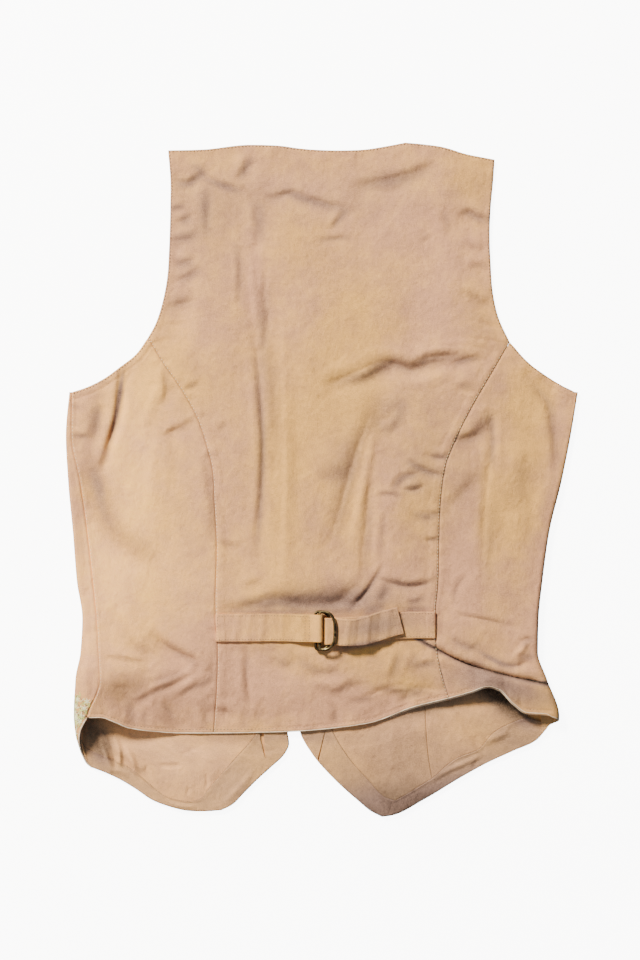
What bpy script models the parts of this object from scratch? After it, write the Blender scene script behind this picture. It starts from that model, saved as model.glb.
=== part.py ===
"""A waistcoat laid face down on a flat surface, with its back up.

+X is to the wearer's right, +Y towards the neck and +Z away from the surface, which is z = 0.
Outlines are in millimetres on the plan. A cloth point is (s, y): s is the plan x of the point
after the garment is unrolled from its two side folds, so s = x wherever the cloth is on top.
"""
from collections import namedtuple
from math import pi

import bmesh
import bpy
import numpy as np

MM = 0.001

# Driving sizes, in millimetres
CLOTH = 1.2            # outer cloth, with its turnings
LINING = 1.0           # facing and lining cloth
GAP = 0.3              # between neighbouring pieces
STRAP_THICK = 1.6
STRAP_WIDTH = 24.6
TAIL_WIDTH = 24.0
WIRE = 2.6             # thickness of the D-ring wire
RING_DEPTH = 14.0      # straight bar to the middle of the curved bar
RING_LENGTH = 33.8     # along the straight bar
RING_CORNER = 2.5
RING_POWER = 0.72      # under 1 makes the curved bar squarer than an ellipse
PLAN_MIDDLE = (0.5, 0.0)     # of the whole outline, which comes to lie over the origin

# Heights above the surface that follow from the sizes
FRONT_MID = CLOTH / 2
LINING_LIFT = CLOTH / 2 + GAP + LINING / 2     # from the middle of the front to that of its lining
LAP_LIFT = CLOTH + GAP                         # left front over right front
LAP = (20.5, 31.0)     # from the left front's edge: where it is fully lifted, and where it is down
ROLL_SLACK = 0.38      # how much the lining stands off a roll, for each mm of radius over the least
ROLL_LEAST = 2.7
SEAM_INSET = GAP / 2
LINING_INSET = GAP     # more where facing meets lining, which both bend round the roll

# The two side folds: where the edge of the garment lies, the radius that the cloth rolls with,
# and the side seam, which is on top on the left and underneath on the right.
Side = namedtuple("Side", "y left_fold left_radius left_seam right_fold right_radius right_seam")
SIDES = [
    Side(79, -227.0, 1.3, -224.6, 231.0, 1.3, 229.0),
    Side(40, -230.0, 1.8, -225.0, 224.5, 1.8, 219.0),
    Side(0, -228.0, 2.3, -217.5, 216.5, 2.4, 205.0),
    Side(-48, -223.5, 2.8, -210.6, 205.0, 2.8, 190.5),
    Side(-91, -220.0, 3.2, -205.5, 199.0, 3.1, 185.0),
    Side(-125, -215.0, 3.8, -202.0, 195.5, 3.4, 182.0),
    Side(-155, -216.5, 5.2, -200.0, 194.8, 3.8, 184.0),
    Side(-180, -221.0, 7.0, -198.5, 203.0, 4.4, 194.0),
    Side(-213, -222.0, 8.5, -210.0, 214.0, 5.0, 207.0),
    Side(-228, -220.6, 8.2, -213.0, 212.5, 5.0, 206.0),
    Side(-243, -217.0, 5.6, -214.0, 211.0, 5.0, 205.0),
    Side(-258, -212.0, 3.0, -208.0, 211.0, 5.0, 205.0),
]

# Plan outlines of the back, from the neck down and from left to right
SHOULDER_LEFT = [(-138, 297), (-104, 298), (-67, 302), (-53, 302)]
NECK = [(-53, 302), (-35, 301), (-21, 299), (17, 297), (41, 298), (60, 301), (76, 304)]
SHOULDER_RIGHT = [(76, 304), (93, 302.5), (110, 300), (130, 294), (156.5, 288.7)]
ARMHOLE_LEFT = [(-138, 297), (-136, 272), (-136, 246), (-137, 211), (-139, 181), (-143, 160),
                (-150, 139), (-156, 128)]
ARMPIT_LEFT = [(-156, 128), (-167, 113), (-181, 102), (-193, 93), (-210, 84), (-224.6, 79)]
ARMHOLE_RIGHT = [(156.5, 288.7), (155, 267), (153, 246), (152, 220), (153, 194), (155, 168),
                 (160, 146), (170, 124)]
ARMPIT_RIGHT = [(170, 124), (188, 105), (205, 93), (220, 84), (229.5, 79)]
PRINCESS_LEFT = [(-156, 128), (-143, 106), (-129, 86), (-110, 52), (-103, 31), (-98, 11),
                 (-96, -20), (-94, -57), (-95, -117), (-93, -153), (-94, -191), (-97, -228)]
PRINCESS_RIGHT = [(170, 124), (157, 102), (135, 64), (121, 36), (113, 16), (108, -14),
                  (106, -54), (105, -96), (103, -117), (104, -151), (109, -176), (115, -196)]

# The back hem: plan line, height of the cloth's middle, and how far up the lift reaches
Hem = namedtuple("Hem", "x y z reach")
BACK_HEM = [
    Hem(-210, -213, 17.6, 90),
    Hem(-198, -213, 16.6, 85),
    Hem(-186, -217, 14.5, 75),
    Hem(-172, -223, 10.5, 60),
    Hem(-152, -226, 6.0, 50),
    Hem(-127, -228, 4.4, 45),
    Hem(-97, -228, 4.2, 45),
    Hem(-61, -227.5, 4.2, 45),
    Hem(-19, -226, 4.2, 45),
    Hem(42, -219, 4.4, 45),
    Hem(84, -204, 5.6, 40),
    Hem(115, -196, 8.5, 32),
    Hem(135, -190, 12.0, 28),
    Hem(150, -185, 14.5, 26),
    Hem(160, -188, 14.0, 26),
    Hem(172, -200, 12.0, 30),
    Hem(185, -209, 10.8, 40),
    Hem(201, -210, 10.6, 45),
    Hem(214, -213, 10.6, 45),
]

# Plan outlines of the fronts. The left hem climbs round the fold, at angles above the surface.
CURL_LEFT = [(-226, 62), (-238, 28), (-248, -18), (-256, -62)]      # y, degrees round the fold
HEM_LEFT = [(-207, -259.5), (-200, -262), (-182, -270), (-167, -279), (-152, -289),
            (-136, -295), (-120, -298.5), (-104, -299), (-90, -298)]
EDGE_LEFT = [(-90, -298), (-80, -293), (-70, -283), (-56, -269), (-46, -260), (-32, -246),
             (-29, -240), (-30, -228), (-28, -210), (-26, -192), (-23, -175), (-16, -150),
             (-12, -125), (-12, -40), (-12, 72)]
NECK_LEFT = [(-12, 72), (-22, 110), (-33, 170), (-42, 230), (-51, 299)]
EDGE_RIGHT = [(55, -304), (45, -299), (34, -290), (13, -271), (-9, -246), (-19, -228),
              (-21, -210), (-23, -192), (-26, -172), (-29, -150), (-30, -125), (-30, -40), (-30, 72)]
NECK_RIGHT = [(-30, 72), (-10, 118), (18, 180), (43, 238), (73, 300)]
HEM_RIGHT = [(206.8, -221), (195, -235), (174, -245), (150, -256), (126, -269), (94, -288),
             (63, -303), (55, -304)]
# Seams between facing and lining, from the side seam to the front edge. The left one begins on
# the roll, at angles above the surface. Each front then has a cross seam up to its edge facing.
INNER_CURL_LEFT = [(-209, 58), (-219, 24), (-230, -20), (-240, -62)]   # y, degrees
FACING_SEAM_LEFT = [(-203, -246), (-190, -251), (-172, -260), (-156, -273), (-141, -285),
                    (-127, -289), (-118, -290)]
FACING_TIP_LEFT = [(-118, -290), (-108, -287), (-101, -278), (-80, -254), (-59, -230),
                   (-52.8, -220)]
FACING_SEAM_RIGHT = [(186, -214), (174, -218), (154, -229), (143, -242), (122, -251),
                     (100, -269)]
FACING_BEND_RIGHT = [(100, -269), (81, -281), (67, -289)]
FACING_TIP_RIGHT = [(67, -289), (58, -286), (42, -270), (23, -248), (11, -228), (6.3, -217)]
CROSS_SEAM_LEFT = [(-52.5, -207), (-52.5, -220), (-49.5, -259)]
CROSS_SEAM_RIGHT = [(6, -207), (6, -217), (-3.2, -252)]
LINING_SEAM = [(93.5, -190), (94, -212), (98, -258), (100, -269)]
FACING_TOP = -207      # the facings end here, under the back
CURL_END = -259.5      # y where the left hem leaves the roll and lies flat
INNER_CURL_TOP = -199  # y where the left facing seam meets the side seam
HEM_RIGHT_TOP = -211.5     # y of the back hem where the right roll begins, and where it ends
HEM_RIGHT_END = -220
ARMHOLE_DEEPER = 4.0   # the fronts' armholes lie this far inside the back's
ARM_BAND_LEFT = [(-120, 297), (-119, 246), (-121, 200), (-126, 160), (-138, 118), (-160, 90),
                 (-190, 70), (-224.3, 58)]
EDGE_INSET = 0.8       # facing inside the edge of the front that it lies on
LINING_TOP = -188

# Height of the back's cloth where nothing presses it down: y and millimetres, down the middle
CROWN = [(302, 3.0), (250, 5.0), (190, 6.5), (128, 7.4), (60, 8.4), (0, 9.2), (-60, 9.5),
         (-110, 9.5), (-165, 9.5), (-228, 7.0)]
RIM_SHOULDER = 2.4     # middle of the back's cloth along the shoulders, and at the armpits
RIM_ARMPIT = 3.0
RIM_PASS = (200, 80)   # y where the shoulders' height begins to give way to the armpits', and ends
RIM_REACH = 42.0       # how far in from the neck and armholes the cloth is held down
LEAST_BLEND = 0.1      # square of the height over which the cloth eases off the layers under it
CROWN_REACH = 0.32     # share of the width over which the side folds pass into the crown
BUCKLE = (4.0, -135.4)    # middle of the rings on the plan
PRESSED = (-132.0, 15.0, 24.0)    # y of the straps, and how far off the folds begin and are whole
PRESS_ENDS = (-97.0, 108.0, 8.0)  # x of the straps' ends, and the width over which pressing dies out
SIDE_CLEAR = 14.0                 # folds die out over this width beside the side folds
LINED_TOP = (-180.0, 8.0)         # y where the lining begins under the back, and the pass to it

# The largest folds of the back: course on the plan, half width, and rise (a trough is negative)
Fold = namedtuple("Fold", "start middle end reach rise")
FOLDS = [
    Fold((-181, 101), (-185, 63), (-196, 21), 10, -1.6),
    Fold((-203, 18), (-190, -36), (-158, -72), 17, -2.0),
    Fold((-67, 189), (-55, 72), (-62, -70), 11, -1.9),
    Fold((-35, 153), (-37, 27), (-36, -99), 15, 1.6),
    Fold((3, 83), (53, 104), (84, 95), 13, 2.4),
    Fold((87, 106), (116, 112), (141, 110), 12, 1.6),
    Fold((44, 60), (30, 22), (11, -45), 12, -1.9),
    Fold((43, 0), (42, -36), (36, -90), 12, -1.5),
    Fold((55, -74), (40, -98), (28, -112), 10, -1.7),
    Fold((48, -88), (83, -95), (102, -92), 10, -1.6),
    Fold((84, -144), (143, -169), (205, -183), 10, -3.0),
    Fold((90, -134), (148, -157), (203, -172), 13, 2.8),
    Fold((-150, -135), (-122, -158), (-109, -173), 12, -2.4),
    Fold((-192, -158), (-167, -162), (-154, -166), 10, -1.4),
    Fold((-150, -186), (-131, -180), (-115, -171), 11, 1.8),
    Fold((-185, -117), (-158, -150), (-147, -160), 13, -1.6),
    Fold((-68, -149), (-68, -171), (-64, -198), 11, -1.5),
    Fold((181, 97), (201, 72), (211, 0), 11, -1.2),
    Fold((143, 0), (129, -9), (111, -32), 11, -1.3),
    Fold((-50, 255), (-23, 258), (21, 245), 11, -1.2),
    Fold((132, 245), (141, 234), (152, 233), 10, -1.2),
]

# Rows and columns of the panels' grids
ROWS_ARMHOLE = 12
ROWS_SIDE = 26
COLUMNS_CENTRE = (6, 9, 6)     # left shoulder, neck, right shoulder
COLUMNS_SIDE = 12
COLUMNS_FOLD = 9
ROWS_FRONT = (13, ROWS_SIDE + 1)   # beside the neck, and below it
COLUMNS_FRONT = 11
COUNT_FACING = (9, 8)          # along a hem facing: round the roll, and then to its tip
LAP_COLUMNS = (3, 3, 7)        # left front: its lap, the rise to it, and the rest
STRAP_COLUMNS = 4
STRAP_ROWS_LEFT, STRAP_ROWS_RIGHT = 50, 64
ARMPIT_TURN = (-60, 0, 60)     # degrees round the roll, where the left armhole ends
ROLL_FADE = 7                  # keeps the shape of the curling hem out of the cloth above it

# Straps: plan course of the middle line and height of the strap above the cloth under it
Course = namedtuple("Course", "x y lift")
LIE = CLOTH / 2 + GAP + STRAP_THICK / 2                     # strap on cloth
OVER_WIRE = WIRE / 2 + GAP + STRAP_THICK / 2                # strap round a wire
LOWER_BAR = Course(-5.0, -135.4, LIE + OVER_WIRE)           # straight bar of the lower ring
UPPER_BAR = Course(-1.4, -135.4, LOWER_BAR.lift + WIRE + GAP)
TURN_X = 5.3                                                # where the right strap turns back
TAIL_LIFT = LOWER_BAR.lift + OVER_WIRE
UPPER_TIP_LIFT = TAIL_LIFT + OVER_WIRE + 0.7
LOOP_X = UPPER_BAR.x + OVER_WIRE
STRAP_LEFT = [
    Course(-94.4, -133.0, LIE),
    Course(-70.0, -132.9, LIE),
    Course(-45.0, -132.7, LIE),
    Course(-26.0, -133.0, LIE),
    Course(-17.5, -133.3, LIE + 1.9),
    Course(-10.5, -133.3, LIE + 2.4),
    Course(-6.6, -133.3, LOWER_BAR.lift + 2.0),
    Course(-3.9, -133.3, UPPER_BAR.lift + 1.4),
    Course(UPPER_BAR.x, -133.3, UPPER_BAR.lift + OVER_WIRE),
    Course(LOOP_X - 0.7, -133.3, UPPER_BAR.lift + 1.7),
    Course(LOOP_X, -133.3, UPPER_BAR.lift),
    Course(LOOP_X, -133.3, LOWER_BAR.lift + 0.6),
    Course(LOOP_X - 0.7, -133.3, LIE + 0.8),
    Course(LOOP_X - 2.4, -133.3, LIE),
    Course(-8.0, -133.3, LIE),
    Course(-16.0, -133.3, LIE),
]
STRAP_RIGHT = [
    Course(102.6, -130.6, LIE),
    Course(85.0, -130.6, LIE),
    Course(68.0, -131.2, LIE),
    Course(50.0, -133.2, LIE),
    Course(32.0, -135.2, LIE),
    Course(18.0, -135.9, LIE),
    Course(TURN_X, -136.0, LIE),
    Course(TURN_X - 1.7, -136.0, LIE + 0.7),
    Course(TURN_X - OVER_WIRE, -136.0, LIE + OVER_WIRE),
    Course(TURN_X - 1.7, -136.0, TAIL_LIFT - 0.7),
    Course(TURN_X, -136.0, TAIL_LIFT),
    Course(12.6, -136.2, TAIL_LIFT),
    Course(20.0, -136.9, TAIL_LIFT + 0.9),
    Course(30.0, -137.0, TAIL_LIFT + 1.6),
    Course(46.0, -133.6, TAIL_LIFT - 0.2),
    Course(60.0, -129.2, TAIL_LIFT - 2.2),
    Course(71.5, -126.2, TAIL_LIFT - 2.0),
]


def step(t):
    """Rises smoothly from 0 to 1 as t does."""
    t = np.clip(t, 0.0, 1.0)
    return t * t * (3.0 - 2.0 * t)


def through(xs, ys, tame=False):
    """A smooth function through the points (xs, ys), level past both ends.

    A tame one never swings past the points, so it turns level at each high and low one.
    """
    xs, ys = np.array(xs, float), np.array(ys, float)
    gaps = np.diff(xs)
    slopes = np.diff(ys) / gaps
    inner = (slopes[:-1] * gaps[1:] + slopes[1:] * gaps[:-1]) / (gaps[:-1] + gaps[1:])
    if tame:
        product = slopes[:-1] * slopes[1:]
        sums = slopes[:-1] + slopes[1:]
        inner = np.where(product > 0, 2 * product / np.where(sums == 0, 1, sums), 0)
    tangents = np.concatenate([slopes[:1], inner, slopes[-1:]])

    def value(x):
        x = np.clip(x, xs[0], xs[-1])
        i = np.clip(np.searchsorted(xs, x, side="right") - 1, 0, len(gaps) - 1)
        t = (x - xs[i]) / gaps[i]
        rise = slopes[i] * gaps[i]
        start, end = tangents[i] * gaps[i], tangents[i + 1] * gaps[i]
        return ys[i] + t * (start + t * (3 * rise - 2 * start - end + t * (start + end - 2 * rise)))

    return value


def column(rows, name, key):
    """One column of a table as a smooth function of its key column."""
    pairs = sorted((getattr(row, key), getattr(row, name)) for row in rows)
    return through(*zip(*pairs), tame=True)


def even(line, count):
    """The same line with count points, evenly spaced along it."""
    length = np.concatenate([[0], np.cumsum(np.linalg.norm(np.diff(line, axis=0), axis=1))])
    at = np.linspace(0, length[-1], count)
    return np.stack([np.interp(at, length, line[:, k]) for k in range(line.shape[1])], axis=1)


def course(points, count, tame=False):
    """A smooth line through the points, as count evenly spaced points."""
    points = np.array(points, float)
    chord = np.concatenate([[0], np.cumsum(np.linalg.norm(np.diff(points, axis=0), axis=1))])
    fine = np.linspace(0, chord[-1], 24 * len(points))
    smooth = [through(chord, points[:, k], tame)(fine) for k in range(points.shape[1])]
    return even(np.stack(smooth, axis=1), count)


def chain(*lines):
    """Lines that follow on from each other, as one line."""
    return np.concatenate([lines[0]] + [line[1:] for line in lines[1:]])


def cut(line, first, last, count, axis=0):
    """The stretch of a line between two values of x (or of y, with axis 1)."""
    fine = even(line, 600)
    order = fine if fine[0, axis] < fine[-1, axis] else fine[::-1]
    at = np.interp([first, last], order[:, axis], np.arange(600))
    picked = np.linspace(at[0], at[1], 200)
    points = [np.interp(picked, np.arange(600), order[:, k]) for k in range(2)]
    return even(np.stack(points, axis=1), count)


def beside(line, distance):
    """A line moved sideways, to the right of its direction."""
    along = np.gradient(line, axis=0)
    along /= np.linalg.norm(along, axis=1)[:, None]
    return line + distance * np.stack([along[:, 1], -along[:, 0]], axis=1)


def distance(x, y, line):
    """Plan distance to a line, and how far along it the nearest point lies, from 0 to 1."""
    nearest = np.full(np.shape(x), np.inf)
    along = np.zeros(np.shape(x))
    for k, (a, b) in enumerate(zip(line[:-1], line[1:])):
        dx, dy = b - a
        t = np.clip(((x - a[0]) * dx + (y - a[1]) * dy) / (dx * dx + dy * dy), 0, 1)
        away = np.hypot(x - a[0] - t * dx, y - a[1] - t * dy)
        closer = away < nearest
        nearest = np.where(closer, away, nearest)
        along = np.where(closer, (k + t) / (len(line) - 1), along)
    return nearest, along


HEM_LINE = np.array([(row.x, row.y) for row in BACK_HEM], float)
RIM = chain(course(ARMPIT_LEFT[::-1], 14), course(ARMHOLE_LEFT[::-1], 16),
            course(SHOULDER_LEFT, 6), course(NECK, 10), course(SHOULDER_RIGHT, 6),
            course(ARMHOLE_RIGHT, 16), course(ARMPIT_RIGHT, 14))
HEM_Y = column(BACK_HEM, "y", "x")
HEM_Z = column(BACK_HEM, "z", "x")
HEM_REACH = column(BACK_HEM, "reach", "x")
CROWN_Z = through(*zip(*sorted(CROWN)))


class Fold_side:
    """One side of the garment, where the cloth rolls from its top to its underside."""

    def __init__(self, name, inward):
        self.inward = inward
        self.edge = column(SIDES, name + "_fold", "y")
        self.radius = column(SIDES, name + "_radius", "y")
        self.seam = column(SIDES, name + "_seam", "y")

    def extreme(self, y):
        """The unrolled place of the garment's outermost line."""
        return self.edge(y) + self.inward * self.radius(y) * (1 - pi / 2)

    def unrolled(self, x, y, under):
        """The unrolled place of a plan point on the top or on the underside."""
        radius = self.radius(y)
        inset = self.inward * (x - self.edge(y))
        turned = radius * np.arccos(np.clip(1 - inset / radius, -1, 1))
        flat = radius * pi / 2 + inset - radius
        reach = np.where(inset < radius, turned, flat)
        return self.extreme(y) + self.inward * np.where(under, -reach, reach)

    def at_angle(self, y, degrees):
        """The unrolled place of a point on the roll, at an angle above its outermost line."""
        return self.extreme(y) + self.inward * self.radius(y) * np.radians(degrees)

    def place(self, s, y, lift=0.0):
        """Where an unrolled point lies. The lift is towards the inside of the garment."""
        radius = self.radius(y)
        reach = self.inward * (s - self.extreme(y))
        angle = np.clip(reach / radius, -pi / 2, pi / 2)
        inset = radius - (radius - lift) * np.cos(angle)
        inset = inset + np.maximum(np.abs(reach) - radius * pi / 2, 0)
        x = self.edge(y) + self.inward * inset
        rolled = FRONT_MID + radius + (radius - lift) * np.sin(angle)
        on_top = reach > radius * pi / 2
        z = np.where(on_top, back_height(x, y) - lift, rolled)
        return np.stack([x, y + 0 * x, z], axis=-1)


LEFT = Fold_side("left", 1)
RIGHT = Fold_side("right", -1)
CENTRE_LEFT = chain(course(EDGE_LEFT[5:], 60), course(NECK_LEFT, 40))


def folds_height(x, y):
    """What the folds add to the height of the back."""
    total = np.zeros(np.shape(x))
    for fold in FOLDS:
        spine = course([fold.start, fold.middle, fold.end], 9)
        away, along = distance(x, y, spine)
        across = np.clip(1 - (away / fold.reach) ** 2, 0, 1) ** 2
        total += fold.rise * across * (4 * along * (1 - along)) ** 0.6
    return total


def back_height(x, y):
    """Height of the middle of the back's cloth above the surface."""
    left, right = LEFT.edge(y), RIGHT.edge(y)
    share = (x - left) / (right - left)
    from_left, from_right = step(share / CROWN_REACH), step((1 - share) / CROWN_REACH)
    body = (FRONT_MID + 2 * LEFT.radius(y)) * (1 - from_left)
    body = body + (FRONT_MID + 2 * RIGHT.radius(y)) * (1 - from_right)
    body = body + CROWN_Z(y) * (from_left + from_right - 1)
    shoulder_end, armpit_start = RIM_PASS
    to_armpit = step((shoulder_end - y) / (shoulder_end - armpit_start))
    rim = RIM_SHOULDER + (RIM_ARMPIT - RIM_SHOULDER) * to_armpit
    held = step(distance(x, y, RIM)[0] / RIM_REACH)
    body = rim + (body - rim) * held
    risen = step((y - HEM_Y(x)) / HEM_REACH(x))
    body = HEM_Z(x) + (body - HEM_Z(x)) * risen
    clear_of_sides = step(np.minimum(x - left, right - x) / SIDE_CLEAR)
    middle, begin, whole = PRESSED
    by_straps = step((whole - np.abs(y - middle)) / (whole - begin))
    start, end, fade = PRESS_ENDS
    between = step((x - start) / fade) * step((end - x) / fade)
    height = body + folds_height(x, y) * clear_of_sides * (1 - by_straps * between)
    top, fade = LINED_TOP
    least = CLOTH * 1.5 + GAP + (LINING + GAP) * step((top - y) / fade)
    spare = height - least
    return least + 0.5 * (spare + np.sqrt(spare * spare + LEAST_BLEND))


def meeting(line, start, end):
    """A line whose ends are moved to meet two points."""
    share = np.linspace(0, 1, len(line))[:, None]
    return line + (1 - share) * (start - line[0]) + share * (end - line[-1])


def filled(left, right, top, bottom, fade=1):
    """A grid of cloth points, [row, column], that fills four joined lines.

    With a fade over 1, the shapes of the top and the bottom line die out sooner.
    """
    top = meeting(top, left[0], right[0])
    bottom = meeting(bottom, left[-1], right[-1])

    def shares(one, other):
        lengths = [np.linalg.norm(np.diff(line, axis=0), axis=1) for line in (one, other)]
        steps = lengths[0] / lengths[0].sum() + lengths[1] / lengths[1].sum()
        return np.concatenate([[0], np.cumsum(steps)]) / 2

    v = shares(left, right)[:, None, None]
    u = shares(top, bottom)[None, :, None]
    across = (1 - u) * left[:, None] + u * right[:, None]
    top_shape = top[None] - (1 - u) * top[0] - u * top[-1]
    bottom_shape = bottom[None] - (1 - u) * bottom[0] - u * bottom[-1]
    return across + (1 - v) ** fade * top_shape + v ** fade * bottom_shape


def sheet(name, points, thickness, material, collection):
    """A panel: a flat grid moved to the points of the cloth's middle, then thickened."""
    rows, columns = points.shape[:2]
    points = points - np.array([*PLAN_MIDDLE, 0.0])
    mesh = bpy.data.meshes.new(name)
    bm = bmesh.new()
    bmesh.ops.create_grid(bm, x_segments=columns - 1, y_segments=rows - 1, size=1.0)
    for vert in bm.verts:
        row = round((1 - vert.co.y) / 2 * (rows - 1))
        column_of_vert = round((vert.co.x + 1) / 2 * (columns - 1))
        vert.co = points[row, column_of_vert] * MM
    bm.to_mesh(mesh)
    bm.free()
    mesh.shade_smooth()
    mesh.materials.append(material)
    panel = bpy.data.objects.new(name, mesh)
    collection.objects.link(panel)
    wall = panel.modifiers.new("wall", "SOLIDIFY")
    wall.thickness = thickness * MM
    wall.offset = 0.0
    return panel


def flat_place(lift):
    """Places cloth flat on the underside, at a height above the front's own cloth."""
    return lambda x, y: np.stack([x, y, np.full(np.shape(x), FRONT_MID + lift)], axis=-1)


def on_back(x, y):
    return np.stack([x, y, back_height(x, y)], axis=-1)


def left_under(points):
    """Plan points on the underside, as unrolled points of the left half."""
    points = np.array(points, float)
    return np.stack([LEFT.unrolled(points[:, 0], points[:, 1], True), points[:, 1]], axis=1)


def side_seam(side, first, last, count, under, inset):
    """The side seam between two values of y, moved along the cloth by an inset."""
    y = np.linspace(first, last, count)
    return np.stack([side.unrolled(side.seam(y), y, under) + inset, y], axis=1)


def roll_end(side, first, last, count, under):
    """The line just past the roll, where the cloth is flat."""
    y = np.linspace(first, last, count)
    reach = side.radius(y) * pi / 2 + 2.0
    return np.stack([side.extreme(y) + side.inward * np.where(under, -reach, reach), y], axis=1)


def on_roll(rows):
    """Points on the left roll, from a table of y and degrees."""
    return np.array([(LEFT.at_angle(y, degrees), y) for y, degrees in rows], float)


def beside_each(*grids):
    """Grids that follow on from left to right, as one."""
    return np.concatenate([grids[0]] + [grid[:, 1:] for grid in grids[1:]], axis=1)


def straight(start, end, count):
    return np.linspace(np.array(start, float), np.array(end, float), count)


def back_centre_grid():
    left = chain(course(ARMHOLE_LEFT, ROWS_ARMHOLE),
                 beside(course(PRINCESS_LEFT, ROWS_SIDE), -SEAM_INSET))
    right = chain(course(ARMHOLE_RIGHT, ROWS_ARMHOLE),
                  beside(course(PRINCESS_RIGHT, ROWS_SIDE), SEAM_INSET))
    first, middle, last = COLUMNS_CENTRE
    top = chain(course(SHOULDER_LEFT, first), course(NECK, middle), course(SHOULDER_RIGHT, last))
    bottom = cut(HEM_LINE, PRINCESS_LEFT[-1][0], PRINCESS_RIGHT[-1][0], len(top))
    return filled(left, right, top, bottom)


def back_side_left_grid():
    left = side_seam(LEFT, SIDES[0].y, BACK_HEM[0].y, ROWS_SIDE, False, SEAM_INSET)
    right = beside(course(PRINCESS_LEFT, ROWS_SIDE), SEAM_INSET)
    top = course(ARMPIT_LEFT[::-1], COLUMNS_SIDE)
    bottom = cut(HEM_LINE, BACK_HEM[0].x, PRINCESS_LEFT[-1][0], COLUMNS_SIDE)
    return filled(left, right, top, bottom)


def back_side_right_grid():
    left = beside(course(PRINCESS_RIGHT, ROWS_SIDE), -SEAM_INSET)
    middle = roll_end(RIGHT, 79, HEM_RIGHT_TOP - 1, ROWS_SIDE, False)
    right = side_seam(RIGHT, SIDES[0].y, HEM_RIGHT_END, ROWS_SIDE, True, -SEAM_INSET)
    top = course(ARMPIT_RIGHT, COLUMNS_SIDE)
    bottom = cut(HEM_LINE, PRINCESS_RIGHT[-1][0], middle[-1][0], COLUMNS_SIDE)
    fold_top = straight(middle[0], right[0], COLUMNS_FOLD)
    fold_hem = straight(middle[-1], right[-1], COLUMNS_FOLD)
    return beside_each(filled(left, middle, top, bottom), filled(middle, right, fold_top, fold_hem))


def front_armhole(lines, inset, count):
    """A front's armhole: the back's, cut deeper except where it meets the side seam."""
    line = course(chain(*(np.array(points, float) for points in lines)), count)
    deeper = inset * step(np.linspace(len(line) / 3, 0, len(line)))
    return beside(line, deeper[:, None])


def left_curl(count):
    """The left hem's climb round the roll, up to the side seam on top."""
    seam_end = side_seam(LEFT, BACK_HEM[0].y, BACK_HEM[0].y, 1, False, -SEAM_INSET)
    flat_end = roll_end(LEFT, CURL_END, CURL_END, 1, True)
    return course(np.concatenate([flat_end, on_roll(CURL_LEFT[::-1]), seam_end]), count)


def front_left_grid():
    upper, lower = ROWS_FRONT
    round_armpit = on_roll((SIDES[0].y, degrees) for degrees in ARMPIT_TURN)
    beside_neck = upper + len(round_armpit)
    centre = chain(left_under(course(NECK_LEFT[::-1], beside_neck)),
                   left_under(course(EDGE_LEFT[::-1], lower)))
    band = left_under(course(ARM_BAND_LEFT, beside_neck))
    middle = chain(band, roll_end(LEFT, ARM_BAND_LEFT[-1][1], CURL_END, lower, True))
    armhole = left_under(front_armhole((ARMHOLE_LEFT, ARMPIT_LEFT[1:]), -ARMHOLE_DEEPER, upper))
    seam = side_seam(LEFT, SIDES[0].y, BACK_HEM[0].y, ROWS_SIDE, False, -SEAM_INSET)
    side = np.concatenate([armhole, round_armpit, seam])
    hem = left_under(course(HEM_LEFT[::-1], 80))
    lifted, down = (centre + np.array([inset, 0]) for inset in LAP)
    legs = [centre, lifted, down, middle]
    for leg in (lifted, down):
        leg[-1] = hem[np.argmin(np.abs(hem[:, 0] - leg[-1][0]))]
    strips = []
    for one, other, columns in zip(legs, legs[1:], LAP_COLUMNS):
        top = straight(one[0], other[0], columns)
        strips.append(filled(one, other, top, cut(hem, one[-1][0], other[-1][0], columns)))
    arm_top = straight(middle[0], side[0], COLUMNS_FOLD)
    strips.append(filled(middle, side, arm_top, left_curl(COLUMNS_FOLD), ROLL_FADE))
    return beside_each(*strips)


def front_right_grid():
    upper, lower = ROWS_FRONT
    centre = chain(course(NECK_RIGHT[::-1], upper), course(EDGE_RIGHT[::-1], lower))
    armhole = front_armhole((ARMHOLE_RIGHT, ARMPIT_RIGHT[1:]), ARMHOLE_DEEPER, upper + 1)[:-1]
    y = np.linspace(SIDES[0].y, HEM_RIGHT_END, ROWS_SIDE)
    side = np.concatenate([armhole, np.stack([RIGHT.seam(y) - SEAM_INSET, y], axis=1)])
    return filled(centre, side, straight(centre[0], side[0], COLUMNS_FRONT),
                  course(HEM_RIGHT[::-1], COLUMNS_FRONT))


def lap(x, y):
    """How far the left front is lifted, from 0 to 1, where it lies over the right one."""
    whole, none = LAP
    inset = np.interp(y, CENTRE_LEFT[:, 1], CENTRE_LEFT[:, 0]) - x
    return step((none - inset) / (none - whole)) * step((y + 197) / 12) * step((150 - y) / 30)


def front_left_place(lift):
    """Places the left front, or what lies on it, round the roll and over the right front."""
    def place(s, y):
        radius = LEFT.radius(y)
        past_flat = s - LEFT.extreme(y) + radius * pi / 2
        slack = ROLL_SLACK * np.maximum(radius - ROLL_LEAST, 0) * step((past_flat + 6) / 6)
        points = LEFT.place(s, y, lift + (slack if lift else 0))
        under = past_flat < 0
        points[..., 2] += np.where(under, LAP_LIFT * lap(points[..., 0], y), 0)
        return points
    return place


def facing_seams_left():
    """The left facing seam as cloth points: from the side seam to the tip, and past it."""
    rolled, flat = COUNT_FACING
    seam = side_seam(LEFT, INNER_CURL_TOP, INNER_CURL_TOP, 1, False, -SEAM_INSET)
    flat_start = left_under(FACING_SEAM_LEFT[:1])
    curl = course(np.concatenate([seam, on_roll(INNER_CURL_LEFT), flat_start]), rolled)
    to_tip = chain(curl, left_under(course(FACING_SEAM_LEFT, flat)))
    return to_tip, left_under(course(FACING_TIP_LEFT, len(to_tip) + 1))


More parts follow.
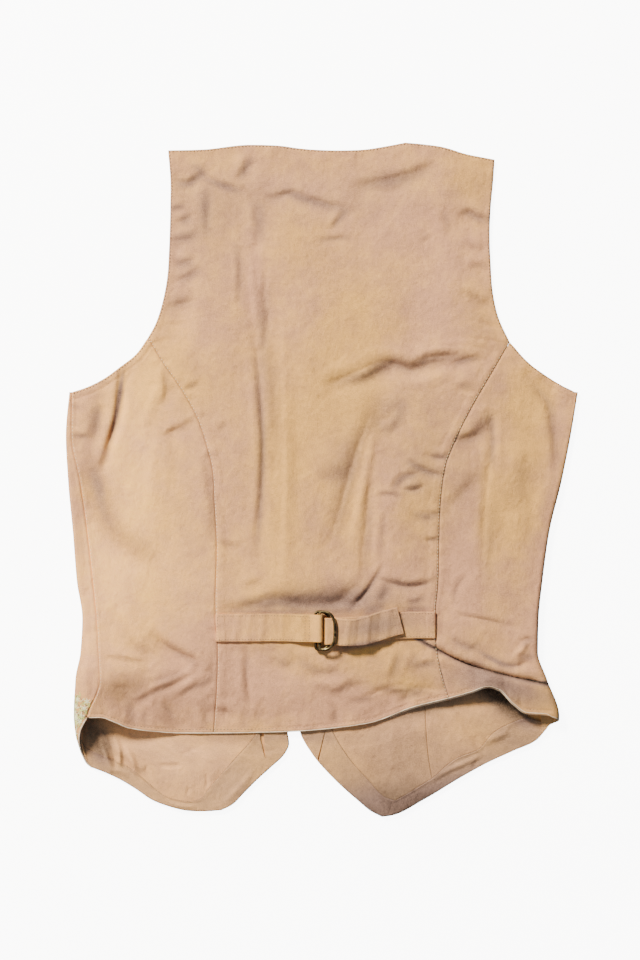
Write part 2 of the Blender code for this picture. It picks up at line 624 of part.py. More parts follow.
def facing_seams_right():
    """The right facing seam: from the side to the lining's seam, to the tip, and past it."""
    return (course(FACING_SEAM_RIGHT, 11), course(FACING_BEND_RIGHT, 5),
            course(FACING_TIP_RIGHT, 11))


def hem_facing_left_grid():
    rolled, flat = COUNT_FACING
    to_tip, past_tip = facing_seams_left()
    inner = beside(chain(to_tip, past_tip), -LINING_INSET)
    edge = cut(course(EDGE_LEFT, 200), EDGE_LEFT[0][0], CROSS_SEAM_LEFT[-1][0] - GAP, len(past_tip))
    outer = chain(left_curl(rolled)[::-1], left_under(course(HEM_LEFT, flat)), left_under(edge))
    outer = beside(outer, EDGE_INSET)
    return filled(straight(inner[0], outer[0], 3), straight(inner[-1], outer[-1], 3), inner, outer)


def hem_facing_right_grid():
    inner = beside(chain(*facing_seams_right()), -LINING_INSET)
    edge = cut(course(EDGE_RIGHT, 200), CROSS_SEAM_RIGHT[-1][0] + GAP, EDGE_RIGHT[0][0], 11)
    outer = chain(course(HEM_RIGHT, len(inner) - 10), edge[::-1])
    outer = beside(outer, EDGE_INSET)
    return filled(straight(inner[0], outer[0], 3), straight(inner[-1], outer[-1], 3), inner, outer)


def cross_seam(points):
    """A front's cross seam: straight from the facing seam's end to the edge."""
    top, bend, end = points
    return chain(straight(top, bend, 3), straight(bend, end, 7))


def front_facing_left_grid():
    right = cut(course(EDGE_LEFT[:-1], 200), FACING_TOP, CROSS_SEAM_LEFT[-1][1] - 3, 9, axis=1)
    right = beside(right, EDGE_INSET)
    left = cross_seam(CROSS_SEAM_LEFT)
    edges = [left_under(line) for line in (right, left)]
    return filled(*edges, straight(edges[0][0], edges[1][0], 4),
                  straight(edges[0][-1], edges[1][-1], 4))


def front_facing_right_grid():
    left = cut(course(EDGE_RIGHT[:-1], 200), FACING_TOP, CROSS_SEAM_RIGHT[-1][1] - 2, 9, axis=1)
    left = beside(left, -EDGE_INSET)
    right = cross_seam(CROSS_SEAM_RIGHT)
    return filled(left, right, straight(left[0], right[0], 4), straight(left[-1], right[-1], 4))


def lining_left_grid():
    to_tip, past_tip = facing_seams_left()
    to_tip, past_tip = beside(to_tip, LINING_INSET), beside(past_tip, LINING_INSET)
    seam_top = side_seam(LEFT, LINING_TOP, LINING_TOP, 1, False, -SEAM_INSET)
    corner = left_under([(CROSS_SEAM_LEFT[0][0] - GAP, FACING_TOP)])
    right = np.concatenate([seam_top, to_tip])
    left = np.concatenate([corner, past_tip[1:][::-1]])
    # The columns are close together round the roll and wide apart where the lining is flat.
    spread = np.concatenate([np.linspace(0, 0.72, 5), np.linspace(0.78, 1, 7)])
    top = left[0] + spread[:, None] * (right[0] - left[0])
    bottom = left[-1] + spread[:, None] * (right[-1] - left[-1])
    return filled(left, right, top, bottom)


def lining_right_front_grid():
    _, bend, past_tip = facing_seams_right()
    left = beside(past_tip, LINING_INSET)[::-1]
    left = np.concatenate([[(CROSS_SEAM_RIGHT[0][0] + GAP, FACING_TOP)], left])
    right = beside(course(LINING_SEAM, len(left)), SEAM_INSET)
    bottom = beside(bend, LINING_INSET)[::-1]
    return filled(left, right, straight(left[0], right[0], len(bottom)), bottom)


def lining_right_side_grid():
    seam, _, _ = facing_seams_right()
    left = beside(course(LINING_SEAM, 7), -SEAM_INSET)
    bottom = beside(seam, LINING_INSET)[::-1]
    right = straight((FACING_SEAM_RIGHT[0][0] + 3, LINING_TOP), bottom[-1], 7)
    return filled(left, right, straight(left[0], right[0], len(bottom)), bottom)


def strap_points(courses, width, count, columns):
    """A strap's middle surface, [row, column]: bands across its course."""
    line = course([(row.x, row.y, row.lift) for row in courses], count, tame=True)
    across = np.stack([-np.gradient(line[:, 1]), np.gradient(line[:, 0])], axis=1)
    level = np.maximum(np.linalg.norm(across, axis=1), 1e-6)
    tilt = np.where(np.abs(across[:, 1]) > 0.5 * np.abs(np.gradient(line[:, 2])),
                    across[:, 0] / level * np.sign(across[:, 1]), 0)
    share = np.linspace(-0.5, 0.5, columns + 1) * width
    x = line[:, :1] + tilt[:, None] * share
    y = line[:, 1:2] + share * np.ones_like(x)
    middle = back_height(line[:, 0], line[:, 1])[:, None]
    beside_buckle = step((np.abs(line[:, :1] - BUCKLE[0]) - 30) / 15)
    lying = beside_buckle * step((LIE + 2 - line[:, 2:]) / 1.5)
    z = middle + lying * (back_height(x, y) - middle) + line[:, 2:]
    return np.stack([x, y, z], axis=-1)


def ring(name, bar, lift_at_tip, material, collection):
    """A D-ring: a straight bar with round corners, and a curved bar past it."""
    half, corner = RING_LENGTH / 2, RING_CORNER
    turn = np.linspace(0, pi / 2, 4)
    upper = [(corner * (1 - np.cos(a)), half - corner + corner * np.sin(a)) for a in turn]
    swing = np.linspace(pi / 2, 0, 13)[1:]
    bend = RING_DEPTH - corner
    upper += [(corner + bend * np.cos(a) ** RING_POWER, half * np.sin(a) ** RING_POWER)
              for a in swing]
    lower = [(x, -y) for x, y in reversed(upper[:-1])]
    points = upper + lower
    curve = bpy.data.curves.new(name, "CURVE")
    curve.dimensions = "3D"
    curve.bevel_depth = WIRE / 2 * MM
    curve.bevel_resolution = 2
    spline = curve.splines.new("POLY")
    spline.points.add(len(points) - 1)
    for point, (x, y) in zip(spline.points, points):
        point.co = (x * MM, y * MM, 0, 1)
    spline.use_cyclic_u = True
    curve.materials.append(material)
    made = bpy.data.objects.new(name, curve)
    collection.objects.link(made)
    height = float(back_height(np.array(BUCKLE[0]), np.array(BUCKLE[1]))) + bar.lift
    x, y = bar.x - PLAN_MIDDLE[0], bar.y - PLAN_MIDDLE[1]
    made.location = (x * MM, y * MM, height * MM)
    made.rotation_euler = (0, -np.arcsin((lift_at_tip - bar.lift) / RING_DEPTH), 0)
    return made


def material(name, colour, roughness, metallic=0.0):
    made = bpy.data.materials.new(name)
    made.use_nodes = True
    shader = made.node_tree.nodes["Principled BSDF"]
    shader.inputs["Base Color"].default_value = (*colour, 1)
    shader.inputs["Roughness"].default_value = roughness
    shader.inputs["Metallic"].default_value = metallic
    return made


def main():
    for obj in list(bpy.data.objects):
        bpy.data.objects.remove(obj)
    collection = bpy.data.collections.new("waistcoat")
    bpy.context.scene.collection.children.link(collection)
    twill = material("tan cotton twill", (0.66, 0.46, 0.30), 0.85)
    lining = material("tan cotton lining", (0.62, 0.43, 0.29), 0.85)
    brass = material("antique brass", (0.30, 0.21, 0.10), 0.4, 0.9)

    round_left, round_right = front_left_place(0), RIGHT.place
    lined_left, lined = front_left_place(LINING_LIFT), flat_place(LINING_LIFT)
    panels = [
        ("back_centre", back_centre_grid(), on_back, CLOTH, twill),
        ("back_side_left", back_side_left_grid(), LEFT.place, CLOTH, twill),
        ("back_side_right", back_side_right_grid(), round_right, CLOTH, twill),
        ("front_left", front_left_grid(), round_left, CLOTH, twill),
        ("front_right", front_right_grid(), flat_place(0), CLOTH, twill),
        ("hem_facing_left", hem_facing_left_grid(), lined_left, LINING, lining),
        ("hem_facing_right", hem_facing_right_grid(), lined, LINING, lining),
        ("front_facing_left", front_facing_left_grid(), lined_left, LINING, lining),
        ("front_facing_right", front_facing_right_grid(), lined, LINING, lining),
        ("lining_left", lining_left_grid(), lined_left, LINING, lining),
        ("lining_right_front", lining_right_front_grid(), lined, LINING, lining),
        ("lining_right_side", lining_right_side_grid(), lined, LINING, lining),
    ]
    for name, grid, place, thickness, cloth in panels:
        points = place(grid[..., 0], grid[..., 1])
        sheet(name, points, thickness, cloth, collection)
    straps = [
        ("strap_left", STRAP_LEFT, STRAP_WIDTH, STRAP_ROWS_LEFT),
        ("strap_right", STRAP_RIGHT, TAIL_WIDTH, STRAP_ROWS_RIGHT),
    ]
    for name, courses, width, rows in straps:
        points = strap_points(courses, width, rows, STRAP_COLUMNS)
        sheet(name, points, STRAP_THICK, twill, collection)
    ring("ring_lower", LOWER_BAR, LOWER_BAR.lift, brass, collection)
    ring("ring_upper", UPPER_BAR, UPPER_TIP_LIFT, brass, collection)


main()
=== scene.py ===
"""A cotton waistcoat that lies face down: cloth, sewing, back strap, rings and embroidery.

+X is to the wearer's right, +Y towards the neck and +Z up from the surface. Outlines are in
millimetres on the plan. A cloth point is (s, y): s is the plan x of the point after the garment
is unrolled from its two side folds, so s = x wherever the cloth is on top.
"""

from collections import namedtuple
from math import pi

import bmesh
import bpy
import numpy as np
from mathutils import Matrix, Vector


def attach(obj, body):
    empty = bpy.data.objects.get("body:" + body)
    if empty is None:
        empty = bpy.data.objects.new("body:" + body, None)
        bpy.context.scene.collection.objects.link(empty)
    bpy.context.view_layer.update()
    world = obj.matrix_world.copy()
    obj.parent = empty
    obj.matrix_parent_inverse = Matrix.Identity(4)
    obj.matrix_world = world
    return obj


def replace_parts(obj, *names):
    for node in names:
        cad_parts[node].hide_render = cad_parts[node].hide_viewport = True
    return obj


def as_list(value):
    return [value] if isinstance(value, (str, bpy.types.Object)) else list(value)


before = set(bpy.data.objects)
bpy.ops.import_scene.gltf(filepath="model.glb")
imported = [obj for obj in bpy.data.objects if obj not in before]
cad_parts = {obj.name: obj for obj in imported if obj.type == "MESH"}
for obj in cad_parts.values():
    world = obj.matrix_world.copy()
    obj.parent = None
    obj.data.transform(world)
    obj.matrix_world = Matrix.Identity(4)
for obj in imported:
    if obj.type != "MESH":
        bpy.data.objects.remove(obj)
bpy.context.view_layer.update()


def rows_of(kind, rows):
    """A table whose rows have the named columns of a kind."""
    return [kind(*row) for row in rows]


MM = 0.001
CLOTH = 1.2            # outer cloth of the back, with its turnings
FRONT_CLOTH = 0.8      # outer cloth of the fronts, whose embroidery fills the rest
LINING = 1.0
HEM_FOLD = 0.6         # the back's turned-up hem
CORNER_CLOTH = 0.8     # the facing inside the right side fold
GAP = 0.3
STRAP_THICK = 1.6
STRAP_WIDTH = 24.6
TAIL_WIDTH = 24.0
STRAP_COLUMNS = 16     # cells across a strap
WIRE = 2.6
RING_DEPTH = 14.0
RING_LENGTH = 33.8
RING_CORNER = 2.5
RING_POWER = 0.72      # how square the curved bar of a ring is: 1 is an ellipse
RING_POINTS = 120      # points round a ring's wire
MIDDLE = (0.5, 0.0)    # plan point that lies over the origin
SMOOTH = 24            # points that a smooth line is first drawn with, to each one that is given
PATCH_SMOOTH = 4       # and points of a crease or slope, to each one that is given

FRONT_MID = CLOTH / 2
FRONT_LIFT = (CLOTH - FRONT_CLOTH) / 2         # the fronts' cloth is thinner on its outer side
LINING_LIFT = CLOTH / 2 + GAP + LINING / 2
CORNER_LIFT = LINING_LIFT + 1.1                # the corner's facing, over the hem's facing
LAP_LIFT = CLOTH + GAP
LAP = (20.5, 31.0)     # how far in from its edge the left front is wholly lifted, and lies flat
LAP_ENDS = (-197.0, 12.0, 150.0, 30.0)         # y where the lap begins and ends, each with its pass
ROLL_SLACK = 0.38      # how far the lining stands off the inside of the left roll, by its radius
ROLL_LEAST = 2.7       # radius under which it doesn't
ROLL_PASS = 6.0        # how far under the roll the slack dies out
PAST_ROLL = 2.0        # the panels' inner lines beside a roll are this far past it
RELIEF_PASS = 9.0      # how far under the roll the left front's relief begins to be whole
ROLL_FADE = 7          # how soon the curled hem's shape dies out, up round the left roll
SEAM_INSET = 0.12
LINING_INSET = 0.15


# The two side folds: where the edge of the garment lies, the radius that the cloth rolls with,
# and the side seam, which is on top on the left and underneath on the right.
Side = namedtuple("Side", "y left_fold left_radius left_seam right_fold right_radius right_seam")
SIDES = rows_of(Side, [
    (79, -227.0, 1.3, -224.6, 231.0, 1.3, 229.0),
    (40, -230.0, 1.8, -225.0, 224.5, 1.8, 219.0),
    (0, -228.0, 2.3, -217.5, 216.5, 2.4, 205.0),
    (-48, -223.5, 2.8, -210.6, 205.0, 2.8, 190.5),
    (-91, -220.0, 3.2, -205.5, 199.0, 3.1, 185.0),
    (-125, -215.0, 3.8, -202.0, 195.5, 3.4, 182.0),
    (-155, -216.5, 5.2, -200.0, 194.8, 3.8, 184.0),
    (-180, -221.0, 7.0, -198.5, 203.0, 4.4, 194.0),
    (-213, -222.0, 8.5, -210.0, 214.0, 5.0, 207.0),
    (-228, -220.6, 8.2, -213.0, 212.5, 5.0, 206.0),
    (-243, -217.0, 5.6, -214.0, 211.0, 5.0, 205.0),
    (-258, -212.0, 3.0, -208.0, 211.0, 5.0, 205.0),
])

# Plan outlines of the back, from the neck down and from left to right
SHOULDER_LEFT = [(-138, 297), (-104, 298), (-67, 302), (-53, 302)]
NECK = [(-53, 302), (-35, 301), (-21, 299), (17, 297), (41, 298), (60, 301), (76, 304)]
SHOULDER_RIGHT = [(76, 304), (93, 302.5), (110, 300), (130, 294), (156.5, 288.7)]
ARMHOLE_LEFT = [(-138, 297), (-136, 272), (-136, 246), (-137, 211), (-139, 181), (-143, 160),
                (-150, 139), (-156, 128)]
ARMPIT_LEFT = [(-156, 128), (-167, 113), (-181, 102), (-193, 93), (-210, 84), (-224.6, 79)]
ARMHOLE_RIGHT = [(156.5, 288.7), (155, 267), (153, 246), (152, 220), (153, 194), (155, 168),
                 (160, 146), (170, 124)]
ARMPIT_RIGHT = [(170, 124), (188, 105), (205, 93), (220, 84), (229.5, 79)]
PRINCESS_LEFT = [(-156, 128), (-143, 106), (-129, 86), (-110, 52), (-103, 31), (-98, 11),
                 (-96, -20), (-94, -57), (-95, -117), (-93, -153), (-94, -191), (-97, -228)]
PRINCESS_RIGHT = [(170, 124), (157, 102), (135, 64), (121, 36), (113, 16), (108, -14),
                  (106, -54), (105, -96), (103, -117), (104, -151), (109, -176), (115, -196)]

# The back hem: plan line, height of the cloth's middle, and how far up the lift reaches
Hem = namedtuple("Hem", "x y z reach")
BACK_HEM = rows_of(Hem, [
    (-210, -213, 17.6, 90),
    (-198, -213, 16.6, 85),
    (-186, -217, 14.5, 75),
    (-172, -223, 10.5, 60),
    (-152, -226, 6.0, 50),
    (-127, -228, 4.4, 45),
    (-97, -228, 4.2, 45),
    (-61, -227.5, 4.2, 45),
    (-19, -226, 4.2, 45),
    (42, -219, 4.4, 45),
    (84, -204, 5.6, 40),
    (115, -196, 8.5, 32),
    (135, -190, 12.0, 28),
    (150, -185, 14.5, 26),
    (160, -188, 14.0, 26),
    (172, -200, 12.0, 30),
    (185, -209, 10.8, 40),
    (201, -210, 10.6, 45),
    (214, -213, 10.6, 45),
])

# Plan outlines of the fronts. The left hem climbs round the fold, at angles above the surface.
CURL_LEFT = [(-226, 62), (-238, 28), (-248, -18), (-256, -62)]      # y, degrees round the fold
HEM_LEFT = [(-207, -259.5), (-200, -262), (-182, -270), (-167, -279), (-152, -289),
            (-136, -295), (-120, -298.5), (-104, -299), (-90, -298)]
EDGE_LEFT = [(-90, -298), (-80, -293), (-70, -283), (-56, -269), (-46, -260), (-32, -246),
             (-29, -240), (-30, -228), (-28, -210), (-26, -192), (-23, -175), (-16, -150),
             (-12, -125), (-12, -40), (-12, 72)]
NECK_LEFT = [(-12, 72), (-22, 110), (-33, 170), (-42, 230), (-51, 299)]
EDGE_RIGHT = [(55, -304), (45, -299), (34, -290), (13, -271), (-9, -246), (-19, -228),
              (-21, -210), (-23, -192), (-26, -172), (-29, -150), (-30, -125), (-30, -40),
              (-30, 72)]
NECK_RIGHT = [(-30, 72), (-10, 118), (18, 180), (43, 238), (73, 300)]
HEM_RIGHT = [(206.8, -221), (195, -235), (174, -245), (150, -256), (126, -269), (94, -288),
             (63, -303), (55, -304)]
# Seams between facing and lining, from the side seam to the front edge. The left one begins on
# the roll, at angles above the surface. Each front then has a cross seam up to its edge facing.
INNER_CURL_LEFT = [(-209, 58), (-219, 24), (-230, -20), (-240, -62)]   # y, degrees
FACING_SEAM_LEFT = [(-203, -246), (-190, -251), (-172, -260), (-156, -273), (-141, -285),
                    (-127, -289), (-118, -290)]
FACING_TIP_LEFT = [(-118, -290), (-108, -287), (-101, -278), (-80, -254), (-59, -230),
                   (-52.8, -220)]
FACING_SEAM_RIGHT = [(186, -214), (174, -218), (154, -229), (143, -242), (122, -251),
                     (100, -269)]
FACING_BEND_RIGHT = [(100, -269), (81, -281), (67, -289)]
FACING_TIP_RIGHT = [(67, -289), (58, -286), (42, -270), (23, -248), (11, -228), (6.3, -217)]
CROSS_SEAM_LEFT = [(-52.5, -207), (-52.5, -220), (-49.5, -259)]
CROSS_SEAM_RIGHT = [(6, -207), (6, -217), (-3.2, -252)]
LINING_SEAM = [(93.5, -190), (94, -212), (98, -258), (100, -269)]
FACING_TOP = -207      # the facings end here, under the back
CURL_END = -259.5      # y where the left hem leaves the roll and lies flat
INNER_CURL_TOP = -199  # y where the left facing seam meets the side seam
HEM_RIGHT_TOP = -211.5     # y of the back hem where the right roll begins, and where it ends
HEM_RIGHT_END = -220
ARMHOLE_DEEPER = 4.0   # the fronts' armholes lie this far inside the back's
ARMHOLE_PASS = 4       # and pass into them over the last of so many parts of their length
ARM_BAND_LEFT = [(-120, 297), (-119, 246), (-121, 200), (-126, 160), (-138, 118), (-160, 90),
                 (-190, 70), (-224.3, 58)]
EDGE_INSET = 0.8       # facing inside the edge of the front that it lies on
LINING_TOP = -188

# Height of the back's cloth where nothing presses it down: y and millimetres, down the middle
CROWN = [(302, 3.0), (250, 5.0), (190, 6.5), (128, 7.4), (60, 8.4), (0, 9.2), (-60, 9.5),
         (-110, 9.5), (-165, 9.5), (-228, 7.0)]
RIM_SHOULDER = 2.4     # middle of the back's cloth along the shoulders, and at the armpits
RIM_ARMPIT = 3.0
RIM_PASS = (200, 80)   # y where the shoulders' height begins to give way to the armpits', and ends
RIM_REACH = 42.0       # how far in from the neck and armholes the cloth is held down
RIM_FOLDS = 1.6        # how much sooner folds are whole there than the cloth's height
LEAST_BLEND = 0.1      # square of the height over which the cloth eases off the layers under it
CROWN_REACH = 0.32     # share of the width over which the side folds pass into the crown
BUCKLE = (4.0, -135.4)    # middle of the rings on the plan
PRESSED = (-132.0, 15.0, 24.0)    # y of the straps, and how far off the folds begin and are whole
PRESSED_FLAT = 0.85               # share of a fold's height that the straps press away
PRESS_ENDS = (-97.0, 108.0, 8.0)  # x of the straps' ends, and width over which pressing dies out
SIDE_CLEAR = 14.0                 # folds die out over this width beside the side folds
LINED_TOP = (-180.0, 8.0)         # y where the lining begins under the back, and the pass to it
FOLD_SLIDE = 3.4       # how far the cloth slides down over what is below the deep fold
FOLD_REACH = (7.0, 0.7)           # how far that reaches above and below the fold's line
FOLD_ENDS = 3.2        # how soon it is whole, from the fold's ends inwards
# The deep fold that lies over the cloth below it, from the right princess seam to the side
DEEP_FOLD = [(88, -141), (104, -149.5), (118, -156.5), (145, -166.5), (175, -175), (207, -182)]

# Height of the fronts' relief: how far below the back's hem it begins, and the pass to it
TIPS_BEGIN = (8.0, 16.0)
HIDDEN_ROOM = (5.0, 3.0)          # height of the back that gives room for hidden folds, and pass
HIDDEN_BEGIN = (50.0, 40.0)       # how far above the tips they begin, and the pass to them

# Cells of the facings, and the back's turned-up hem: its depth, and how far it stands proud
HEM_FACING_ROWS = 14
FACING_RIDGE = (0.5, 0, 1.3)      # the raised inner edge: height, and row and width in rows
FACING_COLUMNS = 18
HEM_FOLD_ROWS = 11
HEM_FOLD_DEEP = 11.0
HEM_FOLD_PROUD = 0.9
HEM_FOLD_GAP = 0.08    # between it and the outer cloth
# The facing inside the right side fold: top of its seam, plan points of its hem where it lies
# flat, y and degrees of its hem round the roll, and the plan x where it meets the fronts' relief
CORNER_TOP = (196.5, -196)
CORNER_HEM = [(199.4, -229.0), (203.2, -224.6), (206.4, -220.8)]
CORNER_CURL = [(-219.6, -75), (-217.6, -30), (-216.0, 10), (-214.6, 45), (-213.4, 80)]
CORNER_RELIEF = (211, 4)
HEM_SPACING = 1.62     # spacing of the points along the back's turned-up hem
# Of the table of slopes: scale of the widths, and how much painted shade the cloth gets down the
# steepest
SLOPE_WIDTH = 1.3
SLOPE_PAINTED_SHADE = 0.36
SLOPE_REACH = 6        # how far off a slope is looked for, by its width
SLOPE_SPREAD = 2.6     # how far to each side a slope reaches, by its width
DARK_POWER = 0.6       # how the painted shade band of a slope grows with its fall
DARK_BAND = (0.25, 1.25)          # middle and width of the painted shade band, by the slope's width
DEEP_FOLD_PAINTED_SHADE = 0.9        # painted shadow down the deep fold
DEEP_BAND = (1.8, 1.2, 2.3)       # how far past the fold that is, and its width before and after
SEAM_PAINTED_SHADE = 0.22       # painted shade along the back panels' seams
TINTED = 1.3           # strength of the table of tints
WEAVE_SCALE = 10       # the weave's units to a metre of cloth
EDGE_ROUND = 0.36      # rounding of a cloth's edge, as a share of its thickness
SHARPNESS = 2.4        # power of a wholly sharp crease's section
CREASE_ENDS = 0.7      # powers with which creases and slopes die out towards their ends
SLOPE_ENDS = 0.8

Ground = namedtuple("Ground", "rise squash cell seed")
# Uneven ground of the back, and of its colour: height, squash along y, cell size and seed
UNEVEN = rows_of(Ground, [
    (0.7, 0.4, 24, 1),
    (0.28, 0.6, 13, 2),
    (0.06, 1, 5.5, 3),
    (1.2, 0.7, 46, 4),
])
CLOUDS = rows_of(Ground, [(0.45, 1, 60, 41), (0.3, 0.5, 24, 42)])
# Uneven ground of the fronts' tips, and of what the back hides, with the mean height of each, and
# the most that the hidden cloth rises
TIP_GROUND, TIP_MEAN = rows_of(Ground, [(0.5, 1, 26, 31)]), 0.9
HIDDEN_GROUND, HIDDEN_MEAN = rows_of(Ground, [(0.5, 0.4, 34, 32)]), 0.5
HIDDEN_MOST = 1.6

Sewing = namedtuple("Sewing", "groove wide rise share cell middle spread")
# Kinds of sewing: depth and width of the groove, and the height, stretch, cell size, distance and
# reach of the puckers beside it
SEAM_SEWN = Sewing(0.6, 0.9, 0.5, 0.25, 6.0, 3, 4)
SIDE_SEWN = Sewing(0.35, 0.8, 0.4, 0.25, 7.0, 3, 4)
ARMHOLE_SEWN = Sewing(0.45, 1.1, 0.95, 0.3, 7.5, 5, 5.5)
NECK_SEWN = Sewing(0.45, 1.1, 0.7, 0.3, 9.0, 4, 6)
HEM_SEWN = Sewing(0, 1, 0.8, 0.3, 8.0, 5, 7)
# Ridges and grooves along the sewing: height, distance from the line, and width
SIDE_RIDGE = (0.5, 1.6, 1.3)
ARMHOLE_STITCHED = (-0.55, 6.8, 1.0)
HEM_STITCHED = (-0.5, 2.9, 0.8)
SEAM_TURNINGS = (0.4, 8.5, 2.0)   # beside a princess seam: height, how wide, and the pass
HEM_TURNED = (0.3, 2.4, 0.8)      # the hem's turned edge: height, how wide, and the pass


Crease = namedtuple("Crease", "course left right rise sharp")
